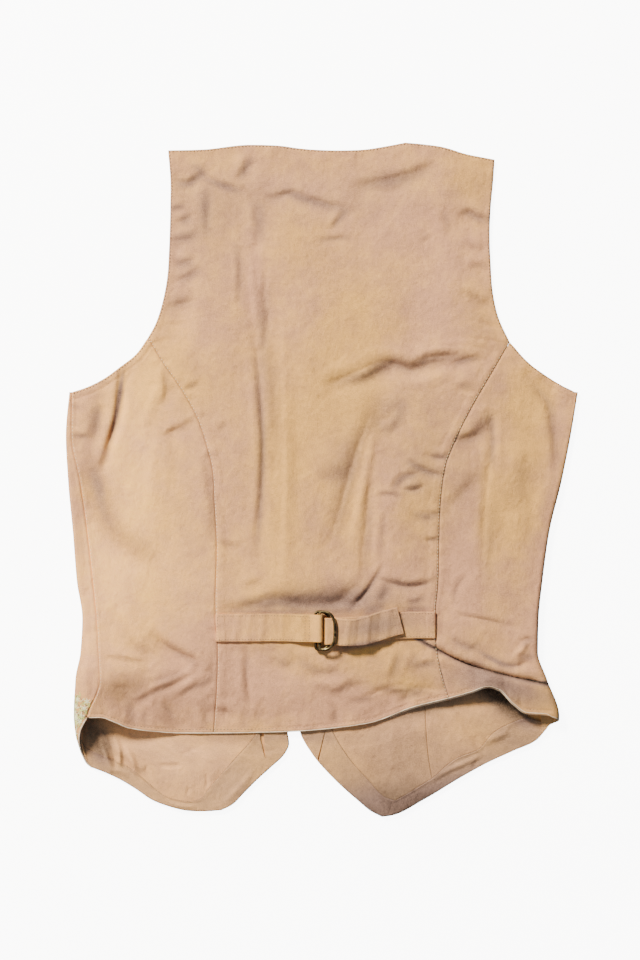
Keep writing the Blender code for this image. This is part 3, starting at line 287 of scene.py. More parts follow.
# Creases of the back: course on the plan, reach to its left and right, rise, and how keen
CREASES = rows_of(Crease, [
    # left side panel
    ([(-181, 101), (-183, 85), (-185, 63), (-188, 45), (-193, 31), (-196, 21)], 5, 10, -2.2, 0.8),
    ([(-173, 97), (-175, 72), (-180, 45), (-188, 22)], 9, 5, 1.0, 0),
    ([(-230, 71), (-222, 69), (-215, 66)], 3, 4, -0.7, 0.6),
    ([(-230, 41), (-221, 41), (-212, 39)], 3, 4, -0.7, 0.6),
    ([(-205, 67), (-206, 54), (-206, 36)], 7, 7, -0.6, 0.1),
    ([(-203, 22), (-197, -18), (-190, -36), (-176, -59), (-157, -74)], 15, 17, -2.0, 0.15),
    ([(-142, 103), (-140, 85), (-140, 76), (-142, 69)], 5, 5, -0.7, 0.4),
    ([(-142, 40), (-129, 47), (-116, 53)], 5, 5, -0.8, 0.4),
    ([(-176, 86), (-173, 93), (-169, 100)], 4, 4, -0.5, 0.4),
    ([(-148, 85), (-154, 63), (-161, 47)], 8, 7, 0.8, 0),
    ([(-152, 36), (-152, 9), (-153, -23)], 9, 9, 0.7, 0),
    ([(-134, 54), (-131, 22), (-130, -14)], 10, 10, -0.8, 0),
    ([(-188, -113), (-172, -135), (-158, -153), (-145, -160)], 9, 11, -1.4, 0.2),
    ([(-151, -133), (-140, -149), (-122, -158), (-112, -163), (-107, -177)], 7, 10, -2.0, 0.6),
    ([(-194, -158), (-181, -159), (-167, -162), (-152, -166)], 3, 4, -1.1, 0.9),
    ([(-165, -200), (-149, -189), (-131, -183), (-116, -175)], 5, 6, -1.0, 0.4),
    ([(-154, -187), (-134, -180), (-113, -169)], 6, 7, 1.3, 0.3),
    ([(-124, -191), (-113, -184), (-104, -177), (-94, -164)], 6, 6, -0.9, 0.4),
    ([(-188, -187), (-179, -186), (-169, -187)], 4, 4, -0.4, 0.3),
    ([(-182, -196), (-180, -204), (-177, -211)], 4, 4, -0.7, 0.4),
    ([(-142, -204), (-138, -208), (-132, -213)], 4, 4, -0.7, 0.4),
    ([(-111, -201), (-106, -208), (-102, -216)], 4, 4, -0.7, 0.4),
    ([(-88, -205), (-84, -211), (-79, -217)], 4, 4, -0.6, 0.4),
    ([(-214, -136), (-210, -138), (-204, -142)], 3, 3, -0.6, 0.7),
    # centre panel, left half
    ([(-68, 193), (-58, 117), (-54, 72), (-53, 36), (-55, -18), (-63, -72)], 5, 8, -1.6, 0.7),
    ([(-48, 201), (-50, 180), (-52, 169), (-48, 144), (-54, 112)], 5, 5, -1.1, 0.4),
    ([(-59, 261), (-58, 234), (-57, 203)], 6, 6, -0.8, 0.2),
    ([(-63, 201), (-61, 171), (-59, 130)], 4, 5, 0.8, 0.4),
    ([(-34, 157), (-32, 72), (-31, 0), (-33, -72), (-36, -104)], 11, 6, 1.3, 0.2),
    ([(-44, 135), (-42, 54), (-43, -23)], 6, 6, -0.6, 0),
    ([(-106, 259), (-106, 243), (-107, 220)], 5, 5, 0.4, 0.2),
    ([(-77, 238), (-77, 198), (-79, 157)], 5, 5, 0.5, 0.2),
    ([(-136, 270), (-124, 269), (-112, 271)], 3, 5, -0.8, 0.5),
    ([(-111, 277), (-95, 270), (-84, 265), (-73, 263)], 4, 5, -1.4, 0.7),
    ([(-59, 296), (-70, 283), (-59, 270)], 4, 4, -0.8, 0.6),
    ([(-76, 270), (-73, 276), (-70, 282)], 3, 4, -0.6, 0.5),
    ([(-51, 255), (-37, 256), (-23, 259), (-10, 253), (8, 249), (24, 245)], 5, 6, -1.4, 0.6),
    ([(23, 246), (15, 235), (7, 223)], 4, 4, -0.8, 0.6),
    ([(-5, 217), (8, 217), (23, 219)], 4, 4, -0.7, 0.7),
    ([(-136, 232), (-125, 234), (-115, 240)], 3, 4, -0.7, 0.5),
    ([(-136, 215), (-127, 216), (-117, 218)], 3, 4, -0.6, 0.5),
    ([(-133, 194), (-122, 197), (-110, 201)], 3, 4, -0.7, 0.4),
    ([(-134, 177), (-122, 183), (-109, 192)], 4, 4, -0.7, 0.4),
    ([(-138, 156), (-125, 159), (-113, 162)], 4, 4, -0.6, 0.4),
    ([(-142, 141), (-131, 140), (-121, 142)], 3, 4, -0.5, 0.4),
    ([(-154, 121), (-142, 125), (-131, 127)], 4, 4, -0.5, 0.3),
    ([(-92, -13), (-91, -19), (-89, -25)], 3, 3, -0.8, 0.2),
    ([(-96, -55), (-86, -56), (-73, -60)], 4, 4, -0.7, 0.5),
    ([(-84, -120), (-64, -114), (-41, -107), (-16, -112)], 9, 5, -1.4, 0.2),
    ([(-68, -147), (-68, -171), (-66, -189), (-63, -202)], 5, 6, -1.2, 0.4),
    ([(-39, -161), (-19, -162), (6, -170)], 8, 8, -0.8, 0.1),
    ([(-51, -198), (-57, -208), (-61, -218)], 4, 4, -0.7, 0.4),
    # centre panel, right half
    ([(51, 267), (71, 272), (89, 279), (102, 286)], 7, 9, -1.2, 0.3),
    ([(26, 264), (49, 264), (74, 266)], 9, 10, -1.3, 0.1),
    ([(110, 243), (110, 232), (116, 219)], 5, 5, -0.6, 0.2),
    ([(85, 214), (91, 222), (100, 228)], 4, 4, -0.5, 0.4),
    ([(130, 246), (141, 235), (155, 232)], 5, 4, -1.5, 0.6),
    ([(132, 218), (139, 207), (145, 194)], 4, 4, -0.5, 0.3),
    ([(128, 195), (140, 195), (154, 195)], 2, 3, -0.5, 0.8),
    ([(134, 168), (145, 159), (158, 149)], 4, 4, -0.6, 0.4),
    ([(141, 143), (152, 139), (164, 136)], 4, 4, -0.5, 0.4),
    ([(146, 126), (158, 125), (172, 120)], 3, 4, -0.5, 0.4),
    ([(1, 84), (22, 93), (40, 101), (55, 107), (71, 104), (85, 95)], 12, 7, -2.4, 0.45),
    ([(62, 95), (82, 87), (100, 90), (118, 98)], 9, 9, 1.0, 0),
    ([(85, 107), (98, 111), (112, 112), (124, 112)], 6, 4, -1.3, 0.5),
    ([(114, 99), (121, 106), (130, 109), (144, 112)], 4, 3, -0.9, 0.7),
    ([(87, 119), (125, 121), (163, 115)], 3, 3, -0.3, 0.6),
    ([(98, 125), (130, 128), (161, 123)], 3, 3, -0.3, 0.5),
    ([(122, 85), (130, 80), (141, 79)], 4, 4, -0.5, 0.3),
    ([(45, 62), (40, 49), (35, 36), (26, 9), (19, -16), (7, -61)], 5, 12, -1.5, 0.45),
    ([(43, 59), (57, 54), (66, 62), (73, 75)], 8, 8, -1.2, 0.2),
    ([(49, 49), (41, 9), (32, -36), (26, -68)], 6, 6, 1.2, 0.1),
    ([(44, 3), (42, -18), (40, -41), (37, -65), (36, -94)], 6, 5, -1.3, 0.5),
    ([(51, 0), (50, -36), (49, -72)], 6, 5, 0.5, 0),
    ([(78, 19), (89, 12), (99, 7), (112, 4)], 4, 5, -1.3, 0.7),
    ([(63, -7), (69, 2), (89, 6)], 5, 4, -0.9, 0.4),
    ([(69, -7), (84, -9), (96, -4)], 4, 4, -0.9, 0.6),
    ([(49, -14), (61, -13), (73, -16)], 4, 4, -0.6, 0.5),
    ([(82, -28), (95, -30), (108, -30)], 4, 4, -0.7, 0.4),
    ([(91, -55), (99, -54), (106, -53)], 4, 4, -0.6, 0.4),
    ([(91, 22), (102, 21), (113, 19)], 6, 6, -0.8, 0.2),
    ([(57, -71), (49, -86), (40, -101), (24, -122)], 5, 8, -1.0, 0.85),
    ([(47, -87), (58, -92), (71, -95), (83, -96), (93, -94), (104, -91)], 7, 4, -1.0, 0.85),
    ([(35, -94), (26, -99), (17, -108), (6, -121)], 8, 8, -1.4, 0.3),
    ([(19, -197), (35, -196), (49, -192), (62, -186), (89, -187), (118, -190)], 6, 4, -0.9, 0.5),
    ([(67, -159), (66, -166), (63, -174)], 4, 4, -0.5, 0.3),
    ([(86, -166), (95, -164), (105, -162)], 4, 4, -0.5, 0.3),
    ([(69, -201), (76, -195), (84, -187)], 4, 4, -0.4, 0.3),
    # right side panel
    ([(119, 35), (130, 38), (143, 41)], 6, 6, -0.9, 0.3),
    ([(141, 50), (149, 61), (151, 36), (151, 18), (148, -18), (144, -99)], 5, 7, -1.1, 0.4),
    ([(147, 2), (130, -9), (110, -33)], 9, 9, -0.5, 0.1),
    ([(159, 72), (160, 36), (159, 0)], 7, 6, 0.8, 0),
    ([(177, 45), (179, -18), (174, -72)], 14, 14, 0.9, 0),
    ([(179, 99), (193, 85), (202, 72), (207, 49), (211, -2)], 6, 6, -0.8, 0.4),
    ([(125, -122), (143, -125), (163, -129)], 4, 3, -0.9, 0.7),
    ([(82, -142), (94, -149), (104, -151), (116, -159), (143, -169), (175, -177),
      (211, -184)], 8, 7, -3.4, 0.7),
    ([(89, -141), (104, -145), (118, -153), (145, -163), (175, -172),
      (204, -178)], 9, 5, 2.7, 0.2),
    ([(141, -150), (152, -158), (161, -163), (175, -167), (188, -165)], 6, 5, -1.7, 0.5),
    ([(172, -160), (180, -153), (186, -147), (193, -152), (199, -162)], 5, 5, 1.9, 0.3),
    ([(177, -146), (185, -143), (194, -144)], 4, 4, -0.9, 0.5),
    ([(119, -143), (124, -146), (131, -150)], 4, 4, -0.6, 0.5),
])

Slope = namedtuple("Slope", "course width fall")
# Lines along which the back falls away, from their left side to their right
SLOPES = rows_of(Slope, [
    # neck and shoulders
    ([(-53, 255), (-41, 256), (-30, 259), (-19, 255), (-3, 250), (15, 246), (31, 242)], 2.8, 0.45),
    ([(-107, 272), (-95, 268), (-84, 264), (-71, 260)], 2.2, 0.45),
    ([(-134, 269), (-120, 268), (-113, 273), (-104, 278)], 2.6, 0.5),
    ([(-120, 285), (-112, 282), (-104, 273)], 2.2, 0.3),
    ([(-77, 273), (-72, 276), (-68, 284), (-61, 292)], 2.6, 0.5),
    ([(9, 226), (15, 234), (23, 244)], 2, 0.4),
    ([(-4, 216), (8, 217), (27, 219)], 1.7, 0.3),
    ([(28, 265), (49, 270), (71, 273), (89, 280), (104, 287)], 4.6, 0.4),
    ([(122, 242), (134, 241), (143, 236), (154, 233)], 3, 0.6),
    ([(116, 218), (112, 232), (107, 245)], 2.6, 0.28),
    ([(-129, 231), (-123, 235), (-117, 238)], 2.8, 0.3),
    ([(-137, 217), (-125, 219), (-110, 224)], 3.2, 0.32),
    ([(-133, 195), (-123, 196), (-115, 200)], 3, 0.32),
    ([(-131, 180), (-122, 183), (-108, 192)], 3, 0.3),
    ([(-139, 155), (-127, 161), (-114, 163)], 4, 0.27),
    ([(-137, 244), (-131, 246), (-123, 247)], 1.6, 0.3),
    ([(-105, 216), (-106, 243), (-105, 266)], 3.2, 0.28),
    ([(130, 192), (141, 194), (151, 194)], 1.8, 0.35),
    ([(87, 213), (93, 219), (96, 224)], 2, 0.25),
    ([(130, 216), (138, 210), (143, 205)], 2, 0.28),
    ([(127, 174), (138, 165), (152, 159)], 2.6, 0.3),
    # upright folds of the middle
    ([(-62, -78), (-59, -59), (-56, -27), (-54, 9), (-54, 45), (-57, 72), (-59, 94),
      (-61, 119)], 2.2, 0.55),
    ([(-53, 117), (-53, 139), (-52, 162), (-51, 184)], 4.5, 0.2),
    ([(-43, 0), (-43, 45), (-45, 90), (-50, 129)], 6, 0.14),
    ([(-56, 210), (-57, 229), (-58, 254)], 3.6, 0.28),
    ([(-76, 157), (-75, 191), (-79, 218)], 2.4, 0.22),
    ([(-98, -59), (-100, -23), (-103, 0), (-107, 27)], 2.8, 0.25),
    # left side
    ([(-201, 7), (-196, 21), (-191, 39), (-185, 58), (-183, 74), (-182, 90),
      (-182, 106)], 2.4, 1.1),
    ([(-206, 34), (-204, 48), (-203, 61), (-200, 70)], 3.6, 0.5),
    ([(-230, 40), (-219, 40), (-209, 39)], 1.8, 0.45),
    ([(-227, 68), (-221, 66), (-215, 65)], 1.5, 0.3),
    ([(-145, 66), (-140, 79), (-141, 92), (-144, 102)], 2.6, 0.45),
    ([(-142, 39), (-134, 45), (-125, 48), (-117, 55)], 2.3, 0.38),
    ([(-126, 82), (-118, 85), (-110, 89)], 2, 0.35),
    ([(-94, 43), (-90, 48), (-86, 54)], 1.8, 0.22),
    ([(-96, -55), (-86, -57), (-73, -61)], 1.8, 0.3),
    ([(-70, -95), (-62, -92), (-53, -90)], 2.2, 0.22),
    ([(-208, 12), (-202, -14), (-193, -41), (-176, -61), (-155, -76)], 5, 0.42),
    # low on the left
    ([(-154, -135), (-140, -146), (-127, -155), (-116, -162), (-108, -174)], 3.4, 0.5),
    ([(-186, -117), (-179, -131), (-172, -142), (-160, -152), (-147, -159)], 3.6, 0.36),
    ([(-194, -158), (-176, -161), (-159, -164)], 1.4, 0.55),
    ([(-203, -192), (-183, -187), (-154, -184)], 9, 0.3),
    ([(-169, -200), (-154, -192), (-140, -186), (-126, -181)], 2, 0.28),
    ([(-156, -181), (-138, -177), (-121, -170)], 2.6, 0.24),
    ([(-134, -195), (-118, -187), (-104, -181), (-94, -168)], 2.3, 0.42),
    ([(-134, -218), (-137, -210), (-146, -200)], 2.4, 0.35),
    ([(-104, -223), (-105, -214), (-108, -203)], 2.2, 0.32),
    ([(-96, -206), (-86, -207), (-77, -213)], 2, 0.3),
    ([(-71, -225), (-71, -214), (-69, -205)], 1.8, 0.22),
    ([(-60, -225), (-57, -213), (-50, -202)], 1.9, 0.26),
    ([(-169, -225), (-173, -211), (-175, -196)], 3.4, 0.3),
    ([(-158, -223), (-160, -213), (-159, -204)], 1.8, 0.2),
    ([(-67, -204), (-68, -180), (-67, -151)], 2, 0.36),
    # above the straps
    ([(-97, -118), (-77, -116), (-59, -113), (-40, -113)], 3.4, 0.4),
    ([(-57, -111), (-32, -109), (-10, -108), (17, -106), (46, -101)], 8.5, 0.42),
    ([(21, -120), (32, -108), (42, -97), (49, -86), (57, -73)], 1.5, 0.6),
    ([(50, -87), (64, -91), (80, -94), (94, -92), (103, -90)], 2.4, 0.55),
    ([(37, -120), (49, -115), (58, -114)], 2.8, 0.45),
    ([(72, -118), (85, -116), (99, -115)], 2.2, 0.45),
    ([(76, -110), (85, -108), (94, -105)], 2, 0.35),
    ([(48, -108), (55, -101), (58, -93)], 3, 0.3),
    # right of the middle
    ([(1, 84), (22, 91), (40, 95), (52, 102), (64, 106), (80, 103), (98, 109), (121, 112),
      (141, 111)], 4, 0.75),
    ([(117, 98), (122, 105), (134, 109), (147, 111)], 2, 0.4),
    ([(121, 87), (130, 85), (138, 82)], 2.6, 0.28),
    ([(10, -61), (15, -36), (22, -9), (26, 9), (32, 31), (40, 49), (47, 61)], 3.9, 0.3),
    ([(48, 55), (60, 47), (67, 54), (73, 74)], 3.6, 0.3),
    ([(-5, 4), (13, 9), (26, 16)], 7, 0.16),
    ([(38, -87), (40, -59), (42, -32), (42, -9), (45, 3)], 3.1, 0.3),
    ([(52, -74), (54, -45), (57, -25)], 2.2, 0.2),
    ([(62, -9), (67, -3), (74, 3), (87, 5)], 2.3, 0.5),
    ([(75, 19), (85, 13), (96, 8), (103, 6), (111, 3)], 2.4, 0.5),
    ([(72, -8), (82, -7), (91, -5)], 2.6, 0.45),
    ([(97, 22), (107, 21), (115, 21)], 2, 0.45),
    ([(115, 35), (127, 38), (136, 41), (143, 49), (149, 57), (152, 65)], 4.2, 0.42),
    ([(152, 9), (153, 27), (153, 45), (151, 61)], 2.2, 0.45),
    ([(49, -13), (62, -12), (73, -15)], 1.7, 0.3),
    ([(80, -29), (94, -33), (108, -29)], 2.2, 0.32),
    ([(93, -54), (99, -53), (106, -53)], 1.7, 0.35),
    ([(115, -21), (125, -10), (134, 1), (142, 12)], 4.6, 0.14),
    # right side
    ([(212, 7), (210, 27), (207, 49), (204, 67), (193, 81), (180, 96)], 3, 0.36),
    ([(175, -29), (176, 0), (182, 27)], 7, 0.14),
    ([(118, -114), (120, -99), (124, -90), (132, -85)], 1.6, 0.22),
    ([(118, -118), (139, -123), (157, -127), (179, -130)], 1.8, 0.25),
    ([(145, -108), (148, -81), (150, -45), (152, -18)], 5, 0.12),
    ([(116, -139), (125, -147), (134, -150), (143, -145)], 2.4, 0.38),
    ([(139, -152), (152, -160), (166, -166), (182, -166)], 1.7, 0.9),
    ([(177, -159), (185, -159), (193, -156)], 2.8, 0.4),
    ([(180, -151), (185, -144), (193, -145)], 2.2, 0.45),
    # below the straps
    ([(-43, -158), (-33, -165), (-24, -164)], 2.6, 0.32),
    ([(-23, -156), (-14, -166), (-3, -171), (19, -169)], 3, 0.38),
    ([(-8, -184), (3, -186), (13, -189), (23, -184), (37, -181)], 2.8, 0.34),
    ([(21, -199), (37, -197), (51, -195)], 1.8, 0.34),
    ([(60, -179), (66, -166), (68, -153)], 2.6, 0.3),
    ([(82, -168), (94, -165), (105, -163)], 2, 0.42),
    ([(49, -186), (64, -189), (76, -189), (93, -186)], 2.4, 0.42),
    ([(66, -198), (80, -194), (96, -189)], 2, 0.32),
    ([(8, -220), (11, -211), (6, -201)], 2.2, 0.22),
    ([(76, -173), (82, -162), (87, -155)], 3, 0.2),
])

# Creases inside the fronts' tips, which show below the back
TIP_CREASES = rows_of(Crease, [
    # left front: lining and facing
    ([(-159, -241), (-154, -238), (-149, -234)], 3, 3, -1.0, 0.5),
    ([(-127, -248), (-113, -241), (-95, -232)], 5, 4, -1.2, 0.4),
    ([(-146, -257), (-136, -258), (-126, -257)], 4, 4, -0.9, 0.3),
    ([(-159, -257), (-157, -263), (-155, -269)], 4, 4, -0.9, 0.4),
    ([(-104, -265), (-103, -272), (-103, -278)], 4, 3, -1.0, 0.4),
    ([(-121, -284), (-120, -280), (-118, -277)], 3, 3, -0.7, 0.4),
    ([(-64, -234), (-57, -243), (-31, -239)], 4, 5, -1.0, 0.4),
    ([(-64, -243), (-60, -248), (-56, -251)], 3, 3, -0.7, 0.4),
    ([(-186, -240), (-176, -247), (-168, -256), (-160, -262)], 6, 6, 1.9, 0.3),
    ([(-192, -262), (-182, -262), (-172, -268)], 4, 4, 1.2, 0.3),
    ([(-140, -290), (-128, -294), (-112, -295)], 4, 4, 1.0, 0.3),
    ([(-88, -292), (-72, -276), (-60, -262)], 4, 5, 1.2, 0.2),
    ([(-110, -240), (-100, -255), (-92, -268)], 12, 12, 1.0, 0),
    ([(-199, -232), (-194, -246), (-189, -264)], 3.5, 3.5, 3.0, 0.5),
    ([(-188, -228), (-182, -243), (-181, -260)], 3.5, 4, 2.8, 0.5),
    ([(-194, -228), (-188, -244), (-185, -262)], 2.5, 2.5, -1.5, 0.6),
    ([(-177, -238), (-170, -252), (-166, -266)], 4, 4, 1.6, 0.4),
    # right front: lining and facing
    ([(105, -209), (116, -223), (125, -234)], 5, 4, -1.3, 0.5),
    ([(121, -210), (130, -221), (143, -241), (148, -257)], 5, 5, -2.2, 0.6),
    ([(165, -241), (167, -244), (168, -248)], 3, 3, -1.0, 0.4),
    ([(21, -232), (24, -238), (26, -243)], 4, 4, -0.7, 0.3),
    ([(150, -236), (158, -232), (170, -226)], 5, 5, 1.7, 0.2),
    ([(96, -274), (112, -263), (128, -256), (150, -246)], 4, 4, 1.3, 0.2),
    ([(30, -250), (44, -268), (58, -282)], 5, 4, 1.2, 0.2),
    ([(60, -225), (64, -245), (66, -262)], 10, 10, 0.9, 0),
    ([(136, -262), (139, -257), (141, -252)], 4, 3, -0.9, 0.4),
    ([(62, -300), (63, -295), (64, -290)], 3, 3, -0.7, 0.4),
])
# Creases across the hidden fronts, under the back
UNDER_CREASES = rows_of(Crease, [
    ([(-60, 150), (-75, 60), (-66, -60), (-72, -170)], 16, 12, 1.7, 0.2),
    ([(-190, 40), (-150, -20), (-120, -110)], 14, 14, 1.6, 0.3),
    ([(-110, 90), (-120, 20), (-150, -60)], 10, 12, -1.3, 0.3),
    ([(-160, -120), (-120, -140), (-60, -130)], 9, 8, 1.4, 0.5),
    ([(90, 170), (70, 80), (84, -40), (74, -150)], 14, 14, 1.7, 0.2),
    ([(190, 50), (150, -10), (128, -110)], 14, 12, 1.6, 0.3),
    ([(60, 30), (110, 4), (160, 10)], 9, 9, 1.4, 0.4),
    ([(150, -70), (110, -110), (50, -128)], 9, 9, -1.3, 0.4),
    ([(30, 40), (22, -60), (30, -150)], 12, 12, 1.2, 0.2),
    ([(120, 140), (100, 110), (60, 100)], 8, 8, -1.2, 0.4),
    ([(-100, 180), (-84, 120), (-96, 60)], 9, 9, -1.0, 0.3),
])
# Creases across the strip between the left fold and its side seam
SIDE_CREASES = rows_of(Crease, [
    ([(-216, -135), (-211, -136), (-205, -140)], 3, 3, -0.9, 0.6),
    ([(-228, 30), (-222, 29), (-217, 31)], 3, 3, -0.4, 0.4),
    ([(-216, -172), (-209, -170), (-202, -171)], 5, 5, 0.6, 0.2),
])


# Straps: plan course of the middle line and height of the strap above the cloth under it
Course = namedtuple("Course", "x y lift")
LIE = CLOTH / 2 + GAP + STRAP_THICK / 2                     # strap on cloth
OVER_WIRE = WIRE / 2 + GAP + STRAP_THICK / 2                # strap round a wire
LOWER_BAR = Course(-5.0, -135.4, LIE + OVER_WIRE)           # straight bar of the lower ring
UPPER_BAR = Course(-1.4, -135.4, LOWER_BAR.lift + WIRE + GAP)
TURN_X = 5.3                                                # where the right strap turns back
TAIL_LIFT = LOWER_BAR.lift + OVER_WIRE
UPPER_TIP_LIFT = TAIL_LIFT + OVER_WIRE + 0.7
LOOP_X = UPPER_BAR.x + OVER_WIRE
STRAP_LEFT = rows_of(Course, [
    (-94.4, -133.0, LIE),
    (-70.0, -132.9, LIE),
    (-45.0, -132.7, LIE),
    (-26.0, -133.0, LIE),
    (-17.5, -133.3, LIE + 1.9),
    (-10.5, -133.3, LIE + 2.4),
    (-6.6, -133.3, LOWER_BAR.lift + 2.0),
    (-3.9, -133.3, UPPER_BAR.lift + 1.4),
    (UPPER_BAR.x, -133.3, UPPER_BAR.lift + OVER_WIRE),
    (LOOP_X - 0.7, -133.3, UPPER_BAR.lift + 1.7),
    (LOOP_X, -133.3, UPPER_BAR.lift),
    (LOOP_X, -133.3, LOWER_BAR.lift + 0.6),
    (LOOP_X - 0.7, -133.3, LIE + 0.8),
    (LOOP_X - 2.4, -133.3, LIE),
    (-8.0, -133.3, LIE),
    (-16.0, -133.3, LIE),
])
STRAP_RIGHT = rows_of(Course, [
    (102.6, -130.6, LIE),
    (85.0, -130.6, LIE),
    (68.0, -131.2, LIE),
    (50.0, -133.2, LIE),
    (32.0, -135.2, LIE),
    (18.0, -135.9, LIE),
    (TURN_X, -136.0, LIE),
    (TURN_X - 1.7, -136.0, LIE + 0.7),
    (TURN_X - OVER_WIRE, -136.0, LIE + OVER_WIRE),
    (TURN_X - 1.7, -136.0, TAIL_LIFT - 0.7),
    (TURN_X, -136.0, TAIL_LIFT),
    (12.6, -136.2, TAIL_LIFT),
    (20.0, -136.9, TAIL_LIFT + 0.9),
    (30.0, -137.0, TAIL_LIFT + 1.6),
    (46.0, -133.6, TAIL_LIFT - 0.2),
    (60.0, -129.2, TAIL_LIFT - 2.2),
    (71.5, -126.2, TAIL_LIFT - 2.0),
])
STRAP_FREE = (30.0, 15.0)     # how far from the buckle a strap begins to lie flat, and the pass
STRAP_RAISED = (2.0, 1.5)     # how far over the cloth it no longer does, and the pass
STRAP_LOW = 0.1               # how far under lying height its folds are gone
# Soft folds across the straps: x and rise, then their width and how much they slant
STRAP_FOLD, STRAP_SLANT = 2.6, 0.12
STRAP_FOLDS = [(-76, 0.3), (-65, 0.4), (-53, 0.45), (-35, 0.4), (-24, 0.3),
               (24, 0.7), (33, -0.5), (42, 0.8), (52, -0.4), (60, 0.5)]


def bell(x, middle, width):
    """1 where x is at the middle, and 0 well past the width."""
    return np.exp(-((x - middle) / width) ** 2)


def step(t):
    """Rises smoothly from 0 to 1 as t does."""
    t = np.clip(t, 0.0, 1.0)
    return t * t * (3.0 - 2.0 * t)


def through(xs, ys, tame=False):
    """A smooth function through the points (xs, ys), level past both ends.

    A tame one never swings past the points, so it turns level at each high and low one.
    """
    xs, ys = np.array(xs, float), np.array(ys, float)
    gaps = np.diff(xs)
    slopes = np.diff(ys) / gaps
    inner = (slopes[:-1] * gaps[1:] + slopes[1:] * gaps[:-1]) / (gaps[:-1] + gaps[1:])
    if tame:
        product = slopes[:-1] * slopes[1:]
        sums = slopes[:-1] + slopes[1:]
        inner = np.where(product > 0, 2 * product / np.where(sums == 0, 1, sums), 0)
    tangents = np.concatenate([slopes[:1], inner, slopes[-1:]])

    def value(x):
        x = np.clip(x, xs[0], xs[-1])
        i = np.clip(np.searchsorted(xs, x, side="right") - 1, 0, len(gaps) - 1)
        t = (x - xs[i]) / gaps[i]
        rise = slopes[i] * gaps[i]
        start, end = tangents[i] * gaps[i], tangents[i + 1] * gaps[i]
        return ys[i] + t * (start + t * (3 * rise - 2 * start - end + t * (start + end - 2 * rise)))

    return value


def column(rows, name, key):
    """One column of a table as a smooth function of its key column."""
    pairs = sorted((getattr(row, key), getattr(row, name)) for row in rows)
    return through(*zip(*pairs), tame=True)


def run_along(line):
    """How far along a line each of its points lies."""
    return np.concatenate([[0], np.cumsum(np.linalg.norm(np.diff(line, axis=0), axis=1))])


def even(line, count):
    """The same line with count points, evenly spaced along it."""
    length = run_along(line)
    at = np.linspace(0, length[-1], count)
    return np.stack([np.interp(at, length, line[:, k]) for k in range(line.shape[1])], axis=1)


def course(points, count, tame=False):
    """A smooth line through the points, as count evenly spaced points."""
    points = np.array(points, float)
    chord = run_along(points)
    fine = np.linspace(0, chord[-1], SMOOTH * len(points))
    smooth = [through(chord, points[:, k], tame)(fine) for k in range(points.shape[1])]
    return even(np.stack(smooth, axis=1), count)


def chain(*lines):
    """Lines that follow on from each other, as one line."""
    return np.concatenate([lines[0]] + [line[1:] for line in lines[1:]])


def cut(line, first, last, count, axis=0):
    """The stretch of a line between two values of x (or of y, with axis 1)."""
    number = 600
    fine = even(line, number)
    order = fine if fine[0, axis] < fine[-1, axis] else fine[::-1]
    at = np.interp([first, last], order[:, axis], np.arange(number))
    picked = np.linspace(at[0], at[1], 200)
    points = [np.interp(picked, np.arange(number), order[:, k]) for k in range(2)]
    return even(np.stack(points, axis=1), count)


def beside(line, distance):
    """A line moved sideways, to the right of its direction."""
    along = np.gradient(line, axis=0)
    along /= np.linalg.norm(along, axis=1)[:, None]
    return line + distance * np.stack([along[:, 1], -along[:, 0]], axis=1)


ARMHOLES = [chain(course(ARMHOLE_LEFT, 30), course(ARMPIT_LEFT, 18)),
            chain(course(ARMHOLE_RIGHT, 30), course(ARMPIT_RIGHT, 14))]
NECKLINE = chain(course(SHOULDER_LEFT, 8), course(NECK, 16), course(SHOULDER_RIGHT, 8))
RIM = chain(ARMHOLES[0][::-1], NECKLINE, ARMHOLES[1])
HEM_Y = column(BACK_HEM, "y", "x")
HEM_LINE = np.array([(x, HEM_Y(x)) for x in np.linspace(BACK_HEM[0].x, BACK_HEM[-1].x, 300)])
HEM_Z = column(BACK_HEM, "z", "x")
HEM_REACH = column(BACK_HEM, "reach", "x")
CROWN_Z = through(*zip(*sorted(CROWN)))


def wander(x, y, scale, seed):
    """Smooth uneven ground between -1 and 1, in cells of a size."""
    cells, shift = 64, 500.5
    ground = np.random.default_rng(seed).uniform(-1, 1, (cells, cells))
    u, v = np.asarray(x) / scale + shift, np.asarray(y) / scale + shift
    i, j = np.floor(u).astype(int), np.floor(v).astype(int)
    a, b = step(u - i), step(v - j)
    i, j, k, l = i % cells, j % cells, (i + 1) % cells, (j + 1) % cells
    near = ground[i, j] * (1 - a) + ground[k, j] * a
    far = ground[i, l] * (1 - a) + ground[k, l] * a
    return near * (1 - b) + far * b


def beside_line(x, y, line):
    """Signed distance to a line, to the right of its direction, and the length along it."""
    nearest = np.full(np.shape(x), np.inf)
    side = np.zeros(np.shape(x))
    along = np.zeros(np.shape(x))
    start = 0.0
    for a, b in zip(line[:-1], line[1:]):
        dx, dy = b - a
        length = np.hypot(dx, dy)
        t = np.clip(((x - a[0]) * dx + (y - a[1]) * dy) / length ** 2, 0, 1)
        off_x, off_y = x - a[0] - t * dx, y - a[1] - t * dy
        away = np.hypot(off_x, off_y)
        closer = away < nearest
        nearest = np.where(closer, away, nearest)
        side = np.where(closer, np.where(off_x * dy - off_y * dx > 0, away, -away), side)
        along = np.where(closer, start + t * length, along)
        start += length
    return side, along


def passing(x, y, table, reach):
    """The rows of a table whose courses pass near some places, by the reach of each row.

    With each: which places those are, how far they lie to the right of its course, and how far
    along it, from 0 to 1.
    """
    for row in table:
        line = course(row.course, PATCH_SMOOTH * len(row.course))
        low, high = line.min(axis=0) - reach(row), line.max(axis=0) + reach(row)
        near = (x > low[0]) & (x < high[0]) & (y > low[1]) & (y < high[1])
        if near.any():
            side, along = beside_line(x[near], y[near], line)
            yield row, near, side, along / run_along(line)[-1]


